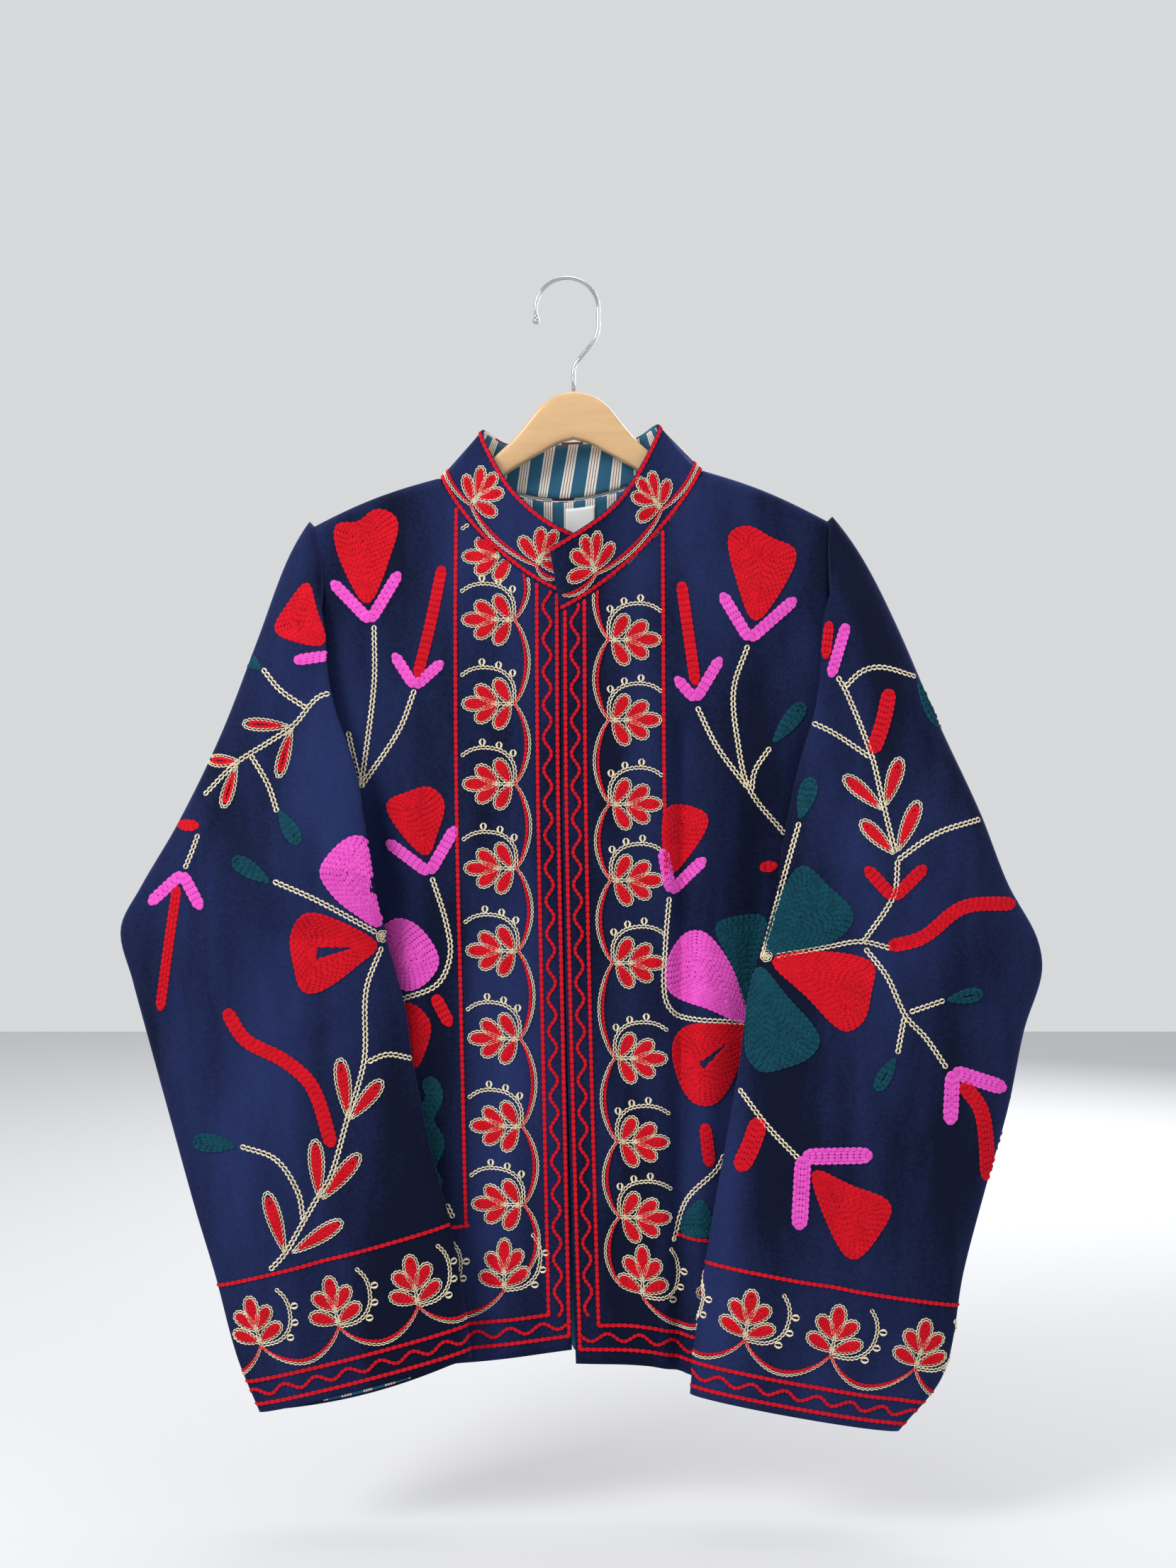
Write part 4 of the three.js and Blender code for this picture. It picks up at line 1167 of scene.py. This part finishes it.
def collar_height(u, q):
    high = np.linalg.norm(collar_surface(u, np.ones_like(u)) - collar_surface(u, np.zeros_like(u)), axis=1)
    return np.where(q < 0, 1 + q / high, q / high)


collar_band = on_surface(
    "velvet_collar", collar_surface, lambda s: np.interp(s, collar_lengths, collar_shares), collar_height, -1,
)
collar_long = collar_lengths[-1]
COLLAR_FOOT = 10
COLLAR_FAN = ((-72, 0.1, 0.74), (72, 0.1, 0.74), (-36, 0.22, 0.76), (36, 0.22, 0.76), (0, 0.3, 0.7))
chain(collar_band, "red", [(1, 2), (collar_long - 1, 2)])
chain(collar_band, "red", [(1, -2), (collar_long - 1, -2)])
collar_feet = np.linspace(20, collar_long - 31, 7)
vine(collar_band, (4, *collar_feet, collar_long - 4), COLLAR_FOOT, 2.5)
for spot in collar_feet:
    share = np.interp(spot, collar_lengths, collar_shares)
    high = 1 / collar_height(np.array([share]), 1.0)[0]
    size = min(30, high - COLLAR_FOOT - 3)
    flower(collar_band, (spot, COLLAR_FOOT), (0, 1), size=size, tendril=0, fan=COLLAR_FAN, plump=0.4)


def loop_shape(open_loop):
    """One stitch, lying along X from 0 to 1: two round legs that part and meet again."""
    legs = [(0.02, 0.05, 0.35), (0.38, 0.33, 0.9), (0.8, 0.37, 1.0), (1.16, 0.06, 0.5)]
    points, faces = [], []
    for side in (1, -1):
        start = len(points)
        for x, y, high in legs:
            inner = max(y - 0.17, 0.0) if open_loop else 0.0
            inner_high = 0.0 if open_loop else 0.35 * high
            points += [(x, side * (y + 0.14), 0.0), (x, side * y, high), (x, side * inner, inner_high)]
        for i in range(len(legs) - 1):
            a = start + 3 * i
            for face in ((a, a + 3, a + 4, a + 1), (a + 1, a + 4, a + 5, a + 2)):
                faces.append(face[::-1] if side > 0 else face)
    return np.array(points), np.array(faces)


THREADS = {
    "red": (rgb(176, 4, 22), rgb(222, 14, 38)),
    "pink": (rgb(208, 62, 172), rgb(242, 102, 210)),
    "cream": (rgb(206, 186, 146), rgb(255, 248, 222)),
    "teal": (rgb(5, 46, 60), rgb(12, 80, 96)),
}
threads = {}
for colour, (dark, pale) in THREADS.items():
    thread = Paint(f"thread_{colour}", roughness=0.75, specular_ior_level=0.15)
    thread.wear(base_color=thread.blend(thread.noise(170, 3), dark, pale))
    thread.rough_up(thread.noise(2600, 2), 0.5, 0.0005)
    threads[colour] = thread

SKIN = 0.05
joined = {}
for (name, colour, packed), rows in stitches.items():
    rows = np.concatenate(rows)
    shape, faces = loop_shape(not packed)
    start, stop, normal, wide = rows[:, :3], rows[:, 3:6], rows[:, 6:9], rows[:, 9:]
    normal = normal / np.linalg.norm(normal, axis=1)[:, None]
    ahead = stop - start
    beside = np.cross(normal, ahead)
    beside /= np.linalg.norm(beside, axis=1)[:, None] + 1e-12
    points = (
        start[:, None] + shape[None, :, :1] * ahead[:, None] + shape[None, :, 1:2] * (beside * wide)[:, None]
        + (shape[None, :, 2:] * LOOP_HIGH + SKIN) * METRE * normal[:, None]
    )
    corners = faces[None] + (np.arange(len(rows)) * len(shape))[:, None, None]
    joined.setdefault((name, colour), []).append((points.reshape(-1, 3), corners.reshape(-1, 4)))

for (name, colour), parts in joined.items():
    points, corners, count = [], [], 0
    for part_points, part_corners in parts:
        points.append(part_points)
        corners.append(part_corners + count)
        count += len(part_points)
    mesh = bpy.data.meshes.new(f"stitches_{colour}")
    mesh.from_pydata(np.concatenate(points).tolist(), [], np.concatenate(corners).tolist())
    mesh.shade_smooth()
    mesh.materials.append(threads[colour].material)
    piece = bpy.data.objects.new(f"stitches_{colour}_{name.replace('velvet_', '')}", mesh)
    bpy.context.collection.objects.link(piece)
    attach(piece, "root")

# A plain pale floor below the cuffs, soft studio light from large panels, and the camera in front.
FLOOR_DOWN = 950
pale = Paint("pale_floor", roughness=1.0, specular_ior_level=0.0, base_color=rgb(204, 205, 207))
bm = bmesh.new()
bmesh.ops.create_grid(bm, x_segments=1, y_segments=1, size=3)
bmesh.ops.translate(bm, verts=bm.verts, vec=(0, 0, -FLOOR_DOWN * METRE))
mesh = bpy.data.meshes.new("floor")
bm.to_mesh(mesh)
bm.free()
mesh.materials.append(pale.material)
floor = bpy.data.objects.new("floor", mesh)
bpy.context.collection.objects.link(floor)

scene = bpy.context.scene
scene.view_settings.view_transform = "Standard"
world = scene.world or bpy.data.worlds.new("room")
scene.world = world
world.use_nodes = True
background = world.node_tree.nodes["Background"]
background.inputs["Color"].default_value = rgb(228, 229, 231)
background.inputs["Strength"].default_value = 0.88
for name, spot, power, size in (
    ("key_light", (-1.6, -1.5, 0.9), 46, 0.9),
    ("fill_light", (1.6, -1.4, 0.1), 8, 1.6),
    ("top_light", (0.2, 0.2, 1.6), 14, 1.2),
    ("back_light", (0.9, 1.9, 0.5), 32, 1.2),
):
    lamp = bpy.data.lights.new(name, "AREA")
    lamp.energy = power
    lamp.size = size
    light = bpy.data.objects.new(name, lamp)
    light.location = spot
    light.rotation_euler = (Vector((0, 0, -0.4)) - Vector(spot)).to_track_quat("-Z", "Y").to_euler()
    bpy.context.collection.objects.link(light)

lens = bpy.data.cameras.new("camera")
lens.lens = 45.2
lens.sensor_width = 36
camera = bpy.data.objects.new("camera", lens)
camera.location = EYE
camera.rotation_euler = (np.pi / 2, 0, 0)
bpy.context.collection.objects.link(camera)
scene.camera = camera
